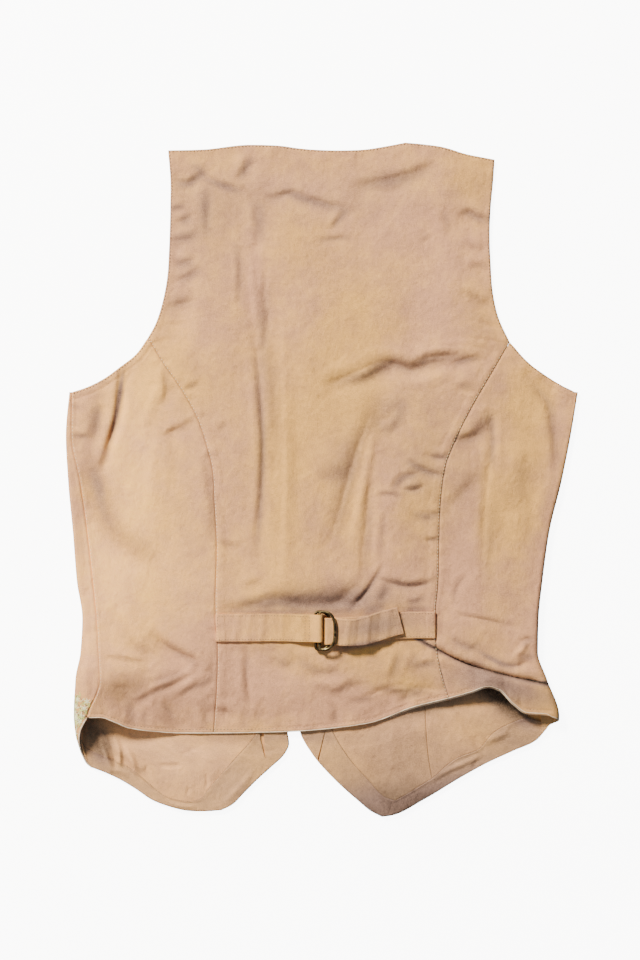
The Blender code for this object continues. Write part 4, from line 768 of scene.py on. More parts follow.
def ends(along, power):
    """Dies out towards both ends of a course."""
    return np.clip(4 * along * (1 - along), 0, 1) ** power


def creased(x, y, creases):
    """What a table of creases adds to the height of a cloth."""
    x, y = np.broadcast_arrays(np.asarray(x, float), np.asarray(y, float))
    total = np.zeros(x.shape)
    for crease, near, side, along in passing(x, y, creases, lambda row: max(row.left, row.right)):
        share = np.clip(1 - np.abs(side) / np.where(side > 0, crease.right, crease.left), 0, 1)
        shape = (1 - crease.sharp) * step(share) + crease.sharp * share ** SHARPNESS
        total[near] += crease.rise * shape * ends(along, CREASE_ENDS)
    return total


def sloped(x, y, slopes):
    """What a table of slopes adds to a cloth, and the band of each where no light comes, which is
    painted as shade.

    The cloth falls from a line's left side to its right side.
    """
    x, y = np.broadcast_arrays(np.asarray(x, float), np.asarray(y, float))
    total, dark = np.zeros(x.shape), np.zeros(x.shape)
    reach = SLOPE_REACH * SLOPE_WIDTH
    for slope, near, side, along in passing(x, y, slopes, lambda row: reach * row.width):
        width = SLOPE_WIDTH * slope.width
        off, whole = side / width, ends(along, SLOPE_ENDS)
        total[near] -= slope.fall * width * np.tanh(off) * bell(off, 0, SLOPE_SPREAD) * whole
        dark[near] += slope.fall ** DARK_POWER * bell(off, *DARK_BAND) * whole
    return total, dark


OVER_FOLD = course(DEEP_FOLD, 40)
# Princess seams: line, seed of the puckers, and the side that the turnings lie on
SEAMS = [(course(PRINCESS_LEFT, 60), 11, -1), (course(PRINCESS_RIGHT, 60), 12, 1)]


def puckered(away, along, kind, seed):
    """The groove of a kind of sewing, and the puckers beside it."""
    puckers = kind.rise * wander(along, away * kind.share, kind.cell, seed)
    return puckers * bell(away, kind.middle, kind.spread) - kind.groove * bell(away, 0, kind.wide)


def ridged(away, height, middle, width):
    """A ridge at a distance from a line, or a groove if its height is below 0."""
    return height * bell(away, middle, width)


def sewn(x, y):
    """How seams, turned edges and stitching shape the back: grooves, turnings and puckers."""
    total = np.zeros(np.shape(x))
    height, wide, fade = SEAM_TURNINGS
    for line, seed, raised in SEAMS:
        side, along = beside_line(x, y, line)
        total += puckered(np.abs(side), along, SEAM_SEWN, seed)
        total += height * step(side * raised) * step((wide - side * raised) / fade)
    away = np.abs(x - LEFT.seam(y))
    total += puckered(away, y, SIDE_SEWN, 13) + ridged(away, *SIDE_RIDGE)
    for line, seed in zip(ARMHOLES, (21, 22)):
        side, along = beside_line(x, y, line)
        away = np.abs(side)
        total += puckered(away, along, ARMHOLE_SEWN, seed) + ridged(away, *ARMHOLE_STITCHED)
    side, along = beside_line(x, y, NECKLINE)
    total += puckered(np.abs(side), along, NECK_SEWN, 23)
    up = y - HEM_Y(x)
    total += puckered(up, x, HEM_SEWN, 24) + ridged(up, *HEM_STITCHED)
    height, wide, fade = HEM_TURNED
    return total + height * step((wide - up) / fade) * step(up / fade)


def uneven(x, y, grounds):
    """Uneven ground of several sizes at once."""
    return sum(one.rise * wander(x, y * one.squash, one.cell, one.seed) for one in grounds)


def held_down(x, y):
    """0 along the neck, shoulders and armholes, and 1 where they don't hold the cloth down."""
    return step(np.abs(beside_line(x, y, RIM)[0]) / RIM_REACH)


def back_height(x, y):
    """Height of the middle of the back's cloth above the surface."""
    x, y = np.broadcast_arrays(np.asarray(x, float), np.asarray(y, float))
    left, right = LEFT.edge(y), RIGHT.edge(y)
    share = (x - left) / (right - left)
    from_left, from_right = step(share / CROWN_REACH), step((1 - share) / CROWN_REACH)
    body = (FRONT_MID + 2 * LEFT.radius(y)) * (1 - from_left)
    body = body + (FRONT_MID + 2 * RIGHT.radius(y)) * (1 - from_right)
    body = body + CROWN_Z(y) * (from_left + from_right - 1)
    shoulder_end, armpit_start = RIM_PASS
    to_armpit = step((shoulder_end - y) / (shoulder_end - armpit_start))
    rim = RIM_SHOULDER + (RIM_ARMPIT - RIM_SHOULDER) * to_armpit
    held = held_down(x, y)
    body = rim + (body - rim) * held
    risen = step((y - HEM_Y(x)) / HEM_REACH(x))
    body = HEM_Z(x) + (body - HEM_Z(x)) * risen
    clear_of_sides = step(np.minimum(x - left, right - x) / SIDE_CLEAR)
    middle, begin, whole = PRESSED
    by_straps = step((whole - np.abs(y - middle)) / (whole - begin))
    start, end, fade = PRESS_ENDS
    between = step((x - start) / fade) * step((end - x) / fade)
    folded = uneven(x, y, UNEVEN) * step(held * RIM_FOLDS)
    folded = (folded + creased(x, y, CREASES) + sloped(x, y, SLOPES)[0]) * clear_of_sides
    folded = folded * (1 - PRESSED_FLAT * by_straps * between)
    height = body + folded + creased(x, y, SIDE_CREASES) + sewn(x, y)
    top, fade = LINED_TOP
    least = CLOTH * 1.5 + GAP + (LINING + GAP) * step((top - y) / fade)
    spare = height - least
    return least + 0.5 * (spare + np.sqrt(spare * spare + LEAST_BLEND))


class SideFold:
    """One side of the garment, where the cloth rolls from its top to its underside."""

    def __init__(self, name, inward):
        self.inward = inward
        self.edge = column(SIDES, name + "_fold", "y")
        self.radius = column(SIDES, name + "_radius", "y")
        self.seam = column(SIDES, name + "_seam", "y")

    def extreme(self, y):
        """The unrolled place of the garment's outermost line."""
        return self.edge(y) + self.inward * self.radius(y) * (1 - pi / 2)

    def unrolled(self, x, y, under):
        """The unrolled place of a plan point on the top or on the underside."""
        radius = self.radius(y)
        inset = self.inward * (x - self.edge(y))
        turned = radius * np.arccos(np.clip(1 - inset / radius, -1, 1))
        flat = radius * pi / 2 + inset - radius
        reach = np.where(inset < radius, turned, flat)
        return self.extreme(y) + self.inward * np.where(under, -reach, reach)

    def at_angle(self, y, degrees):
        """The unrolled place of a point on the roll, at an angle above its outermost line."""
        return self.extreme(y) + self.inward * self.radius(y) * np.radians(degrees)

    def place(self, s, y, lift=0.0):
        """Where an unrolled point lies. The lift is towards the inside of the garment."""
        s, y = np.broadcast_arrays(np.asarray(s, float), np.asarray(y, float))
        radius = self.radius(y)
        reach = self.inward * (s - self.extreme(y))
        angle = np.clip(reach / radius, -pi / 2, pi / 2)
        inset = radius - (radius - lift) * np.cos(angle)
        inset = inset + np.maximum(np.abs(reach) - radius * pi / 2, 0)
        x = self.edge(y) + self.inward * inset
        rolled = FRONT_MID + radius + (radius - lift) * np.sin(angle)
        on_top = reach > radius * pi / 2
        top = on_back(x, y)
        z = np.where(on_top, top[..., 2] - lift, rolled)
        return np.stack([x, np.where(on_top, top[..., 1], y), z], axis=-1)


LEFT = SideFold("left", 1)
RIGHT = SideFold("right", -1)
CENTRE_LEFT = chain(course(EDGE_LEFT[5:], 60), course(NECK_LEFT, 40))


def under_relief(x, y):
    """How far the fronts stand off the surface, where nothing presses them down."""
    begin, fade = TIPS_BEGIN
    past_hem = HEM_Y(x) - begin - y
    tips = TIP_MEAN + uneven(x, y, TIP_GROUND) + creased(x, y, TIP_CREASES)
    tips = np.maximum(step(past_hem / fade) * tips, 0)
    (least, more), (begin, fade) = HIDDEN_ROOM, HIDDEN_BEGIN
    room = step((back_height(x, y) - least) / more) * step((-past_hem - begin) / fade)
    hidden = HIDDEN_MEAN + uneven(x, y, HIDDEN_GROUND) + creased(x, y, UNDER_CREASES)
    return tips + room * held_down(x, y) * np.clip(hidden, 0, HIDDEN_MOST)


def flat_place(lift):
    """Places cloth on the underside, at a height above the front's own cloth."""
    def place(x, y):
        z = FRONT_MID + lift + under_relief(x, y)
        return np.stack([x, y + 0 * x, z], axis=-1)
    return place


def on_back(x, y):
    """Places cloth on the back. Just above the deep fold it slides down over what is below."""
    x, y = np.broadcast_arrays(np.asarray(x, float), np.asarray(y, float))
    side, along = beside_line(x, y, OVER_FOLD)
    share = along / run_along(OVER_FOLD)[-1]
    slide = FOLD_SLIDE * bell(side, 0, np.where(side < 0, *FOLD_REACH))
    slide = slide * np.clip(FOLD_ENDS * share * (1 - share), 0, 1)
    return np.stack([x, y - slide, back_height(x, y)], axis=-1)


def lap(x, y):
    """How far the left front is lifted, from 0 to 1, where it lies over the right one."""
    whole, none = LAP
    low, low_pass, high, high_pass = LAP_ENDS
    inset = np.interp(y, CENTRE_LEFT[:, 1], CENTRE_LEFT[:, 0]) - x
    between = step((y - low) / low_pass) * step((high - y) / high_pass)
    return step((none - inset) / (none - whole)) * between


def front_left_place(lift, lined=True):
    """Places the left front, or what lies on it, round the roll and over the right front."""
    def place(s, y):
        radius = LEFT.radius(y)
        past_flat = s - LEFT.extreme(y) + radius * pi / 2
        slack = ROLL_SLACK * np.maximum(radius - ROLL_LEAST, 0)
        slack = slack * step((past_flat + ROLL_PASS) / ROLL_PASS)
        points = LEFT.place(s, y, lift + (slack if lined else 0))
        under = past_flat < 0
        x = points[..., 0]
        raised = LAP_LIFT * lap(x, y) + under_relief(x, y) * step(-past_flat / RELIEF_PASS)
        points[..., 2] += np.where(under, raised, 0)
        return points
    return place


def meeting(line, start, end):
    """A line whose ends are moved to meet two points."""
    share = np.linspace(0, 1, len(line))[:, None]
    return line + (1 - share) * (start - line[0]) + share * (end - line[-1])


def filled(left, right, top, bottom, fade=1):
    """A grid of cloth points, [row, column], that fills four joined lines.

    With a fade over 1, the shapes of the top and the bottom line die out sooner.
    """
    top = meeting(top, left[0], right[0])
    bottom = meeting(bottom, left[-1], right[-1])

    def shares(one, other):
        return sum(run_along(line) / run_along(line)[-1] for line in (one, other)) / 2

    v = shares(left, right)[:, None, None]
    u = shares(top, bottom)[None, :, None]
    across = (1 - u) * left[:, None] + u * right[:, None]
    top_shape = top[None] - (1 - u) * top[0] - u * top[-1]
    bottom_shape = bottom[None] - (1 - u) * bottom[0] - u * bottom[-1]
    return across + (1 - v) ** fade * top_shape + v ** fade * bottom_shape


def unrolled_under(side, points):
    """Plan points on the underside, as unrolled points of one half of the garment."""
    points = np.array(points, float)
    return np.stack([side.unrolled(points[:, 0], points[:, 1], True), points[:, 1]], axis=1)


def left_under(points):
    """Plan points on the underside, as unrolled points of the left half."""
    return unrolled_under(LEFT, points)


def side_seam(side, first, last, number, under, inset):
    """The side seam between two values of y, moved along the cloth by an inset."""
    y = np.linspace(first, last, number)
    return np.stack([side.unrolled(side.seam(y), y, under) + inset, y], axis=1)


def roll_end(side, first, last, number, under):
    """The line just past the roll, where the cloth is flat."""
    y = np.linspace(first, last, number)
    reach = side.radius(y) * pi / 2 + PAST_ROLL
    return np.stack([side.extreme(y) + side.inward * np.where(under, -reach, reach), y], axis=1)


def on_roll(rows, side=None):
    """Points on a roll, the left one unless another is named, from a table of y and degrees."""
    side = side or LEFT
    return np.array([(side.at_angle(y, degrees), y) for y, degrees in rows], float)


def beside_each(*grids):
    """Grids that follow on from left to right, as one."""
    return np.concatenate([grids[0]] + [grid[:, 1:] for grid in grids[1:]], axis=1)


def straight(start, end, number):
    """Evenly spaced points from one point to another."""
    return np.linspace(np.array(start, float), np.array(end, float), number)


def upright(left, right, columns):
    """Cloth points between a left and a right line, whose ends are joined straight."""
    return filled(left, right, straight(left[0], right[0], columns),
                  straight(left[-1], right[-1], columns))


def level(top, bottom, rows):
    """Cloth points between a top and a bottom line, whose ends are joined straight."""
    return filled(straight(top[0], bottom[0], rows), straight(top[-1], bottom[-1], rows),
                  top, bottom)


def back_centre_cloth():
    """Cloth points of the back's centre panel, [row, column], from the neck to the hem."""
    top_rows, rows = 106, 232
    left = chain(course(ARMHOLE_LEFT, top_rows), beside(course(PRINCESS_LEFT, rows), -SEAM_INSET))
    right = chain(course(ARMHOLE_RIGHT, top_rows), beside(course(PRINCESS_RIGHT, rows), SEAM_INSET))
    top = chain(course(SHOULDER_LEFT, 42), course(NECK, 62), course(SHOULDER_RIGHT, 40))
    bottom = cut(HEM_LINE, PRINCESS_LEFT[-1][0], PRINCESS_RIGHT[-1][0], len(top))
    return filled(left, right, top, bottom)


def back_side_left_cloth():
    rows, columns = 236, 86
    left = side_seam(LEFT, SIDES[0].y, BACK_HEM[0].y, rows, False, SEAM_INSET)
    right = beside(course(PRINCESS_LEFT, rows), SEAM_INSET)
    top = course(ARMPIT_LEFT[::-1], columns)
    bottom = cut(HEM_LINE, BACK_HEM[0].x, PRINCESS_LEFT[-1][0], columns)
    return filled(left, right, top, bottom)


def back_side_right_cloth():
    rows, columns, round_fold = 236, 74, 18
    left = beside(course(PRINCESS_RIGHT, rows), -SEAM_INSET)
    middle = roll_end(RIGHT, SIDES[0].y, HEM_RIGHT_TOP - 1, rows, False)
    right = side_seam(RIGHT, SIDES[0].y, HEM_RIGHT_END, rows, True, -SEAM_INSET)
    top = course(ARMPIT_RIGHT, columns)
    bottom = cut(HEM_LINE, PRINCESS_RIGHT[-1][0], middle[-1][0], columns)
    fold_top = straight(middle[0], right[0], round_fold)
    fold_hem = straight(middle[-1], right[-1], round_fold)
    return beside_each(filled(left, middle, top, bottom), filled(middle, right, fold_top, fold_hem))


def front_armhole(lines, inset, number):
    """A front's armhole: the back's, cut deeper except where it meets the side seam."""
    line = course(chain(*(np.array(points, float) for points in lines)), number)
    deeper = inset * step(np.linspace(ARMHOLE_PASS, 0, number))
    return beside(line, deeper[:, None])


def left_curl(number):
    """The left hem's climb round the roll, up to the side seam on top."""
    seam_end = side_seam(LEFT, BACK_HEM[0].y, BACK_HEM[0].y, 1, False, -SEAM_INSET)
    flat_end = roll_end(LEFT, CURL_END, CURL_END, 1, True)
    return course(np.concatenate([flat_end, on_roll(CURL_LEFT[::-1]), seam_end]), number)


def front_left_cloth():
    upper, lower, columns, round_roll = 84, 124, 74, 20
    round_armpit = on_roll((SIDES[0].y, degrees) for degrees in (-60, 0, 60))
    beside_neck = upper + len(round_armpit)
    centre = chain(left_under(course(NECK_LEFT[::-1], beside_neck)),
                   left_under(course(EDGE_LEFT[::-1], lower + 1)))
    band = left_under(course(ARM_BAND_LEFT, beside_neck))
    middle = chain(band, roll_end(LEFT, ARM_BAND_LEFT[-1][1], CURL_END, lower + 1, True))
    armhole = left_under(front_armhole((ARMHOLE_LEFT, ARMPIT_LEFT[1:]), -ARMHOLE_DEEPER, upper))
    seam = side_seam(LEFT, SIDES[0].y, BACK_HEM[0].y, lower, False, -SEAM_INSET)
    side = np.concatenate([armhole, round_armpit, seam])
    hem = left_under(course(HEM_LEFT[::-1], columns))
    flat = filled(centre, middle, straight(centre[0], middle[0], columns), hem)
    arm_top = straight(middle[0], side[0], round_roll)
    return beside_each(flat, filled(middle, side, arm_top, left_curl(round_roll), ROLL_FADE))


def front_right_cloth():
    upper, lower, columns = 84, 124, 76
    centre = chain(course(NECK_RIGHT[::-1], upper), course(EDGE_RIGHT[::-1], lower))
    armhole = front_armhole((ARMHOLE_RIGHT, ARMPIT_RIGHT[1:]), ARMHOLE_DEEPER, upper)[:-1]
    y = np.linspace(SIDES[0].y, HEM_RIGHT_END, lower)
    side = np.concatenate([armhole, np.stack([RIGHT.seam(y) - SEAM_INSET, y], axis=1)])
    return filled(centre, side, straight(centre[0], side[0], columns),
                  course(HEM_RIGHT[::-1], columns))


def facing_seams_left():
    """The left facing seam as cloth points: from the side seam to the tip, and past it."""
    seam = side_seam(LEFT, INNER_CURL_TOP, INNER_CURL_TOP, 1, False, -SEAM_INSET)
    flat_start = left_under(FACING_SEAM_LEFT[:1])
    curl = course(np.concatenate([seam, on_roll(INNER_CURL_LEFT), flat_start]), 40)
    to_tip = chain(curl, left_under(course(FACING_SEAM_LEFT, 70)))
    return to_tip, left_under(course(FACING_TIP_LEFT, 80))


def facing_seams_right():
    """The right facing seam: from the side to the lining's seam, to the tip, and past it."""
    return (course(FACING_SEAM_RIGHT, 76), course(FACING_BEND_RIGHT, 30),
            course(FACING_TIP_RIGHT, 68))


def hem_facing_left_cloth():
    to_tip, past_tip = facing_seams_left()
    inner = beside(chain(to_tip, past_tip), -LINING_INSET)
    edge = cut(course(EDGE_LEFT, 200), EDGE_LEFT[0][0], CROSS_SEAM_LEFT[-1][0] - GAP, len(past_tip))
    outer = chain(left_curl(40)[::-1], left_under(course(HEM_LEFT, 70)), left_under(edge))
    outer = beside(outer, EDGE_INSET)
    return level(inner, outer, HEM_FACING_ROWS)


def hem_facing_right_cloth():
    inner = beside(chain(*facing_seams_right()), -LINING_INSET)
    edge = cut(course(EDGE_RIGHT, 200), CROSS_SEAM_RIGHT[-1][0] + GAP, EDGE_RIGHT[0][0], 68)
    outer = chain(course(HEM_RIGHT, len(inner) - 67), edge[::-1])
    outer = beside(outer, EDGE_INSET)
    return level(inner, outer, HEM_FACING_ROWS)


def cross_seam(points, number):
    """A front's cross seam: straight from the facing seam's end to the edge."""
    top, bend, end = points
    return even(chain(straight(top, bend, 3), straight(bend, end, 7)), number)


def front_facing_left_cloth():
    right = cut(course(EDGE_LEFT[:-1], 200), FACING_TOP, CROSS_SEAM_LEFT[-1][1] - 3, 40, axis=1)
    right = beside(right, EDGE_INSET)
    left = cross_seam(CROSS_SEAM_LEFT, 40)
    return upright(left_under(right), left_under(left), FACING_COLUMNS)


def front_facing_right_cloth():
    left = cut(course(EDGE_RIGHT[:-1], 200), FACING_TOP, CROSS_SEAM_RIGHT[-1][1] - 2, 40, axis=1)
    left = beside(left, -EDGE_INSET)
    right = cross_seam(CROSS_SEAM_RIGHT, 40)
    return upright(left, right, FACING_COLUMNS)


def lining_left_cloth():
    to_tip, past_tip = facing_seams_left()
    to_tip, past_tip = beside(to_tip, LINING_INSET), beside(past_tip, LINING_INSET)
    seam_top = side_seam(LEFT, LINING_TOP, LINING_TOP, 1, False, -SEAM_INSET)
    corner = left_under([(CROSS_SEAM_LEFT[0][0] - GAP, FACING_TOP)])
    right = np.concatenate([seam_top, to_tip])
    left = even(np.concatenate([corner, past_tip[1:][::-1]]), len(right))
    # The columns are close together round the roll and wide apart where the lining is flat.
    spread = np.concatenate([np.linspace(0, 0.72, 70), np.linspace(0.725, 1, 40)])
    top = left[0] + spread[:, None] * (right[0] - left[0])
    bottom = left[-1] + spread[:, None] * (right[-1] - left[-1])
    return filled(left, right, top, bottom)


def lining_right_front_cloth():
    _, bend, past_tip = facing_seams_right()
    left = beside(past_tip, LINING_INSET)[::-1]
    left = np.concatenate([[(CROSS_SEAM_RIGHT[0][0] + GAP, FACING_TOP)], left])
    right = beside(course(LINING_SEAM, len(left)), SEAM_INSET)
    bottom = beside(bend, LINING_INSET)[::-1]
    return filled(left, right, straight(left[0], right[0], len(bottom)), bottom)


def lining_right_side_cloth():
    seam, _, _ = facing_seams_right()
    left = beside(course(LINING_SEAM, 50), -SEAM_INSET)
    bottom = beside(seam, LINING_INSET)[::-1]
    right = straight((FACING_SEAM_RIGHT[0][0] + 3, LINING_TOP), bottom[-1], 50)
    return filled(left, right, straight(left[0], right[0], len(bottom)), bottom)


def corner_facing_cloth():
    """The facing inside the right side fold, from the fronts' hem up to the back's."""
    rows, columns = 24, 40
    last_y, last_angle = CORNER_CURL[-1]
    y = np.linspace(CORNER_TOP[1], last_y, rows)
    roll = np.stack([RIGHT.at_angle(y, last_angle), y], axis=1)
    flat_end = unrolled_under(RIGHT, CORNER_HEM)
    hem = course(np.concatenate([flat_end, on_roll(CORNER_CURL, RIGHT)]), columns)
    seam = unrolled_under(RIGHT, straight(CORNER_TOP, CORNER_HEM[0], rows))
    return filled(seam, roll, straight(seam[0], roll[0], columns), hem)


def corner_place(s, y):
    """Places the corner's facing inside the right fold, and on the hem's facing where flat."""
    points = RIGHT.place(s, y, CORNER_LIFT)
    x = points[..., 0]
    under = s > RIGHT.extreme(y) + RIGHT.radius(y) * pi / 4
    flat_end, fade = CORNER_RELIEF
    points[..., 2] += np.where(under, under_relief(x, y) * step((flat_end - x) / fade), 0)
    return points


def hem_fold_cloth(first, last):
    """The back's turned-up hem between two places on the plan, just proud of the outer cloth."""
    line = cut(course(HEM_LINE, 400), first, last, int(abs(last - first) / HEM_SPACING) + 2)
    top = line + [0, HEM_FOLD_DEEP]
    bottom = line - [0, HEM_FOLD_PROUD]
    return level(top, bottom, HEM_FOLD_ROWS)


def strap_points(courses, width, rows):
    """A strap's middle surface, [row, column]: bands across its course."""
    line = course([(row.x, row.y, row.lift) for row in courses], rows, tame=True)
    across = np.stack([-np.gradient(line[:, 1]), np.gradient(line[:, 0])], axis=1)
    level = np.maximum(np.linalg.norm(across, axis=1), 1e-6)
    tilt = np.where(np.abs(across[:, 1]) > 0.5 * np.abs(np.gradient(line[:, 2])),
                    across[:, 0] / level * np.sign(across[:, 1]), 0)
    share = np.linspace(-0.5, 0.5, STRAP_COLUMNS + 1) * width
    x = line[:, :1] + tilt[:, None] * share
    y = line[:, 1:2] + share * np.ones_like(x)
    middle = back_height(line[:, 0], line[:, 1])[:, None]
    begin, fade = STRAP_FREE
    beside_buckle = step((np.abs(line[:, :1] - BUCKLE[0]) - begin) / fade)
    high, low_pass = STRAP_RAISED
    lying = beside_buckle * step((LIE + high - line[:, 2:]) / low_pass)
    z = middle + lying * (back_height(x, y) - middle) + line[:, 2:]
    runs_right = np.gradient(line[:, 0])[:, None] > 0
    for place, rise in STRAP_FOLDS:
        ripple = bell(x - place, STRAP_SLANT * share, STRAP_FOLD)
        z = z + rise * ripple * runs_right * step((line[:, 2:] - LIE + STRAP_LOW) / STRAP_LOW)
    return np.stack([x, y, z], axis=-1)


# Soft patches of the cloth's colour: plan place, size across and along, lean in degrees, strength
Tint = namedtuple("Tint", "x y across along lean strength")
# Where the cloth is more yellow, above 0, or pinker, below 0
TINTS = rows_of(Tint, [
    (-36, 0, 16, 150, 0, 0.7),
    (30, -30, 10, 60, 8, 0.4),
    (20, 60, 60, 60, 0, 0.35),
    (150, -40, 8, 70, 0, 0.6),
    (176, 10, 14, 70, 6, 0.6),
    (185, 70, 22, 24, 40, 0.6),
    (206, -20, 9, 120, 6, -0.9),
    (110, 150, 30, 80, 0, -0.3),
    (-60, 180, 8, 60, 0, -0.5),
    (60, 10, 16, 60, 0, -0.5),
    (-165, 0, 40, 110, 0, 0.45),
    (0, 70, 60, 90, 0, 0.35),
    (-70, -190, 50, 26, 0, -0.8),
    (-100, 180, 40, 60, 0, -0.25),
    (90, 240, 50, 26, 0, -0.5),
    (125, -60, 20, 60, 0, -0.6),
    (-130, -190, 60, 30, -10, -0.6),
    (20, -196, 60, 20, 0, -0.5),
    (70, -180, 34, 12, 0, 0.7),
    (70, -285, 40, 12, -25, -0.8),
    (60, -240, 30, 40, 0, -0.6),
    (150, -235, 30, 10, 30, 0.4),
    (-15, -130, 16, 14, 0, 0.9),
])
# Painted shade, where the cloth is painted darker and greyer to stand for shade, above 0, and
# painted light, where it is painted lighter to stand for light, below 0
PAINTED_SHADE = rows_of(Tint, [
    (0, 258, 190, 32, 0, 0.13),
    (-110, 210, 50, 70, 0, 0.115),
    (40, 190, 70, 40, 0, 0.05),
    (-175, 0, 46, 120, 0, -0.43),
    (116, 200, 34, 50, 0, -0.11),
    (-20, -190, 50, 16, 0, -0.08),
    (-190, -110, 30, 60, 0, -0.26),
    (-120, -90, 60, 40, 0, -0.16),
    (90, 60, 60, 40, 20, 0.08),
    (110, -20, 50, 50, 0, 0.10),
    (160, -187, 54, 13, 12, 0.42),
    (70, -300, 90, 26, 0, 0.60),
    (80, -250, 60, 30, 0, 0.22),
    (170, -232, 34, 14, 24, 0.20),
    (-211, -90, 10, 50, 4, -0.22),
    (47, -132, 34, 11, -10, 0.36),
    (106, -282, 60, 8, -32, 0.26),
    (143, -172, 24, 7, 22, 0.24),
    (36, -148.5, 27, 3.2, -8, 0.42),
    (-48, -119, 44, 1.7, 0, 0.22),
    (-205, 56, 15, 40, 14, 0.30),
    (-200, -2, 11, 34, -10, 0.14),
    (-130, 18, 14, 34, 0, 0.12),
    (-142, 120, 9, 70, 10, 0.10),
    (20, -110, 70, 15, 0, 0.14),
    (-155, -180, 40, 14, 0, 0.05),
    (-90, -205, 60, 20, 0, -0.09),
    (130, -150, 60, 14, 18, 0.10),
    (-199, -8, 9, 28, -20, 0.44),
    (-176, -50, 9, 28, -48, 0.42),
    (-184, 68, 2.6, 36, 11, 0.50),
    (-53, 100, 6, 62, 0, 0.12),
    (-56, -10, 4, 70, 0, 0.08),
    (-30, -109, 62, 6, 0, 0.22),
    (44, -100, 44, 15, 0, 0.12),
    (10, 30, 22, 26, 40, 0.08),
    (16, 0, 7, 55, 13, 0.07),
    (60, 66, 20, 9, -40, 0.12),
    (84, 12, 30, 26, 0, 0.08),
    (-150, -215, 60, 16, 0, 0.06),
])
# The same, more, on the pieces inside the garment: painted shade, above 0, darkest in the mouths
# under the back's hem, and painted light, below 0
PAINTED_SHADE_INSIDE = rows_of(Tint, [
    (-200, -236, 12, 21, -20, 0.68),
    (-125, -252, 50, 20, 0, -0.17),
    (-150, -231, 36, 9, 0, -0.30),
    (102, -203, 46, 7, -14, 0.40),
    (170, -205, 27, 9, 37, 0.72),
    (-60, -232, 90, 5, 0, 0.22),
])


def patches(x, y, table):
    """What a table of soft patches adds up to."""
    total = 0.0
    for tint in table:
        lean = np.radians(tint.lean)
        across = (x - tint.x) * np.cos(lean) - (y - tint.y) * np.sin(lean)
        along = (x - tint.x) * np.sin(lean) + (y - tint.y) * np.cos(lean)
        total = total + tint.strength * bell(across, 0, tint.across) * bell(along, 0, tint.along)
    return total


def toned(x, y):
    """How yellow, above 0, or pink, below 0, the cloth is."""
    return uneven(x, y, CLOUDS) + TINTED * patches(x, y, TINTS)


def painted_shading(places, cloth, kind):
    """How much painted shade a cloth of a kind gets, "back", "inside" or "front".

    It is painted darker in soft patches, and lighter where they are below 0. The back is also
    painted darker down its slopes, where no light comes, and down its deep fold.
    """
    x, y = places[..., 0], places[..., 1]
    dull = patches(x, y, PAINTED_SHADE)
    if kind == "inside":
        return dull + patches(x, y, PAINTED_SHADE_INSIDE)
    if kind == "front":
        return dull
    side, _ = beside_line(cloth[..., 0], cloth[..., 1], OVER_FOLD)
    middle, before, after = DEEP_BAND
    deep = bell(side, middle, np.where(side < middle, before, after))
    return dull + SLOPE_PAINTED_SHADE * sloped(x, y, SLOPES)[1] + DEEP_FOLD_PAINTED_SHADE * deep


def cut_area(cloth):
    """A cut: its area in square metres, and the width and length of the cloth it takes."""
    outline = np.concatenate([cloth[0], cloth[1:, -1], cloth[-1, ::-1][1:], cloth[::-1, 0][1:]])
    x, y = outline[:, 0], outline[:, 1]
    area = abs((x * np.roll(y, -1) - y * np.roll(x, -1)).sum()) / 2
    width, length = np.ptp(x), np.ptp(y)
    if area < 0.5 * width * length:
        # A bent strip: its length along the strip, and a quarter more than its mean width.
        length = max(np.linalg.norm(np.diff(cloth, axis=axis), axis=-1).sum(axis=axis).max()
                     for axis in (0, 1))
        width = 1.25 * area / length
    return area * MM * MM, (width * MM, length * MM)


def finished(name, data, finish, slot):
    """An object of a mesh or curve, in the scene, with its finish, that rides on the garment."""
    data.materials.append(finish)
    piece = bpy.data.objects.new(name, data)
    bpy.context.scene.collection.objects.link(piece)
    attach(piece, "root")
    return piece


def panel(name, cloth, points, thickness, finish, slot, kind):
    """A cloth piece: a flat grid moved to the points of the cloth's middle, then thickened."""
    rows, columns = points.shape[:2]
    mesh = bpy.data.meshes.new(name)
    bm = bmesh.new()
    bmesh.ops.create_grid(bm, x_segments=columns - 1, y_segments=rows - 1, size=1.0)
    bm.to_mesh(mesh)
    bm.free()
    flat = np.empty(len(mesh.vertices) * 3)
    mesh.vertices.foreach_get("co", flat)
    flat = flat.reshape(-1, 3)
    row = np.rint((1 - flat[:, 1]) / 2 * (rows - 1)).astype(int)
    column_at = np.rint((flat[:, 0] + 1) / 2 * (columns - 1)).astype(int)
    places = points[row, column_at] - np.array([*MIDDLE, 0.0])
    mesh.vertices.foreach_set("co", (places * MM).ravel())
    corner = np.empty(len(mesh.loops), int)
    mesh.loops.foreach_get("vertex_index", corner)
    weave = mesh.uv_layers.new(name="weave")
    weave.data.foreach_set("uv", (cloth[row, column_at][corner] * MM * WEAVE_SCALE).ravel())
    # Painted shade, and painted light where it is below 0, by which the finish darkens or lightens
    # the cloth
    dull = painted_shading(places, cloth[row, column_at], kind)
    if kind == "back":
        # Painted shade along the very edges: a thin dark line where the seams' turnings would throw
        # shadow.
        dull = dull + SEAM_PAINTED_SHADE * ((column_at == 0) | (column_at == columns - 1) | (row == 0))
    for attribute, values in (("tone", toned(places[:, 0], places[:, 1])), ("dull", dull)):
        mesh.attributes.new(attribute, "FLOAT", "POINT").data.foreach_set("value", values)
    mesh.shade_smooth()
    piece = finished(name, mesh, finish, slot)
    wall = piece.modifiers.new("wall", "SOLIDIFY")
    wall.thickness = thickness * MM
    wall.offset = 0.0
    edge = piece.modifiers.new("edges", "BEVEL")
    edge.width, edge.segments = EDGE_ROUND * thickness * MM, 2
    edge.limit_method, edge.angle_limit = "ANGLE", 1.1
    return piece


def laid(cloth, under=()):
    """Works out the cut of a panel that lies on the surface, and lists the pieces that it rests on,
    but keeps neither.
    """
    area, flat = cut_area(cloth)
    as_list(under)


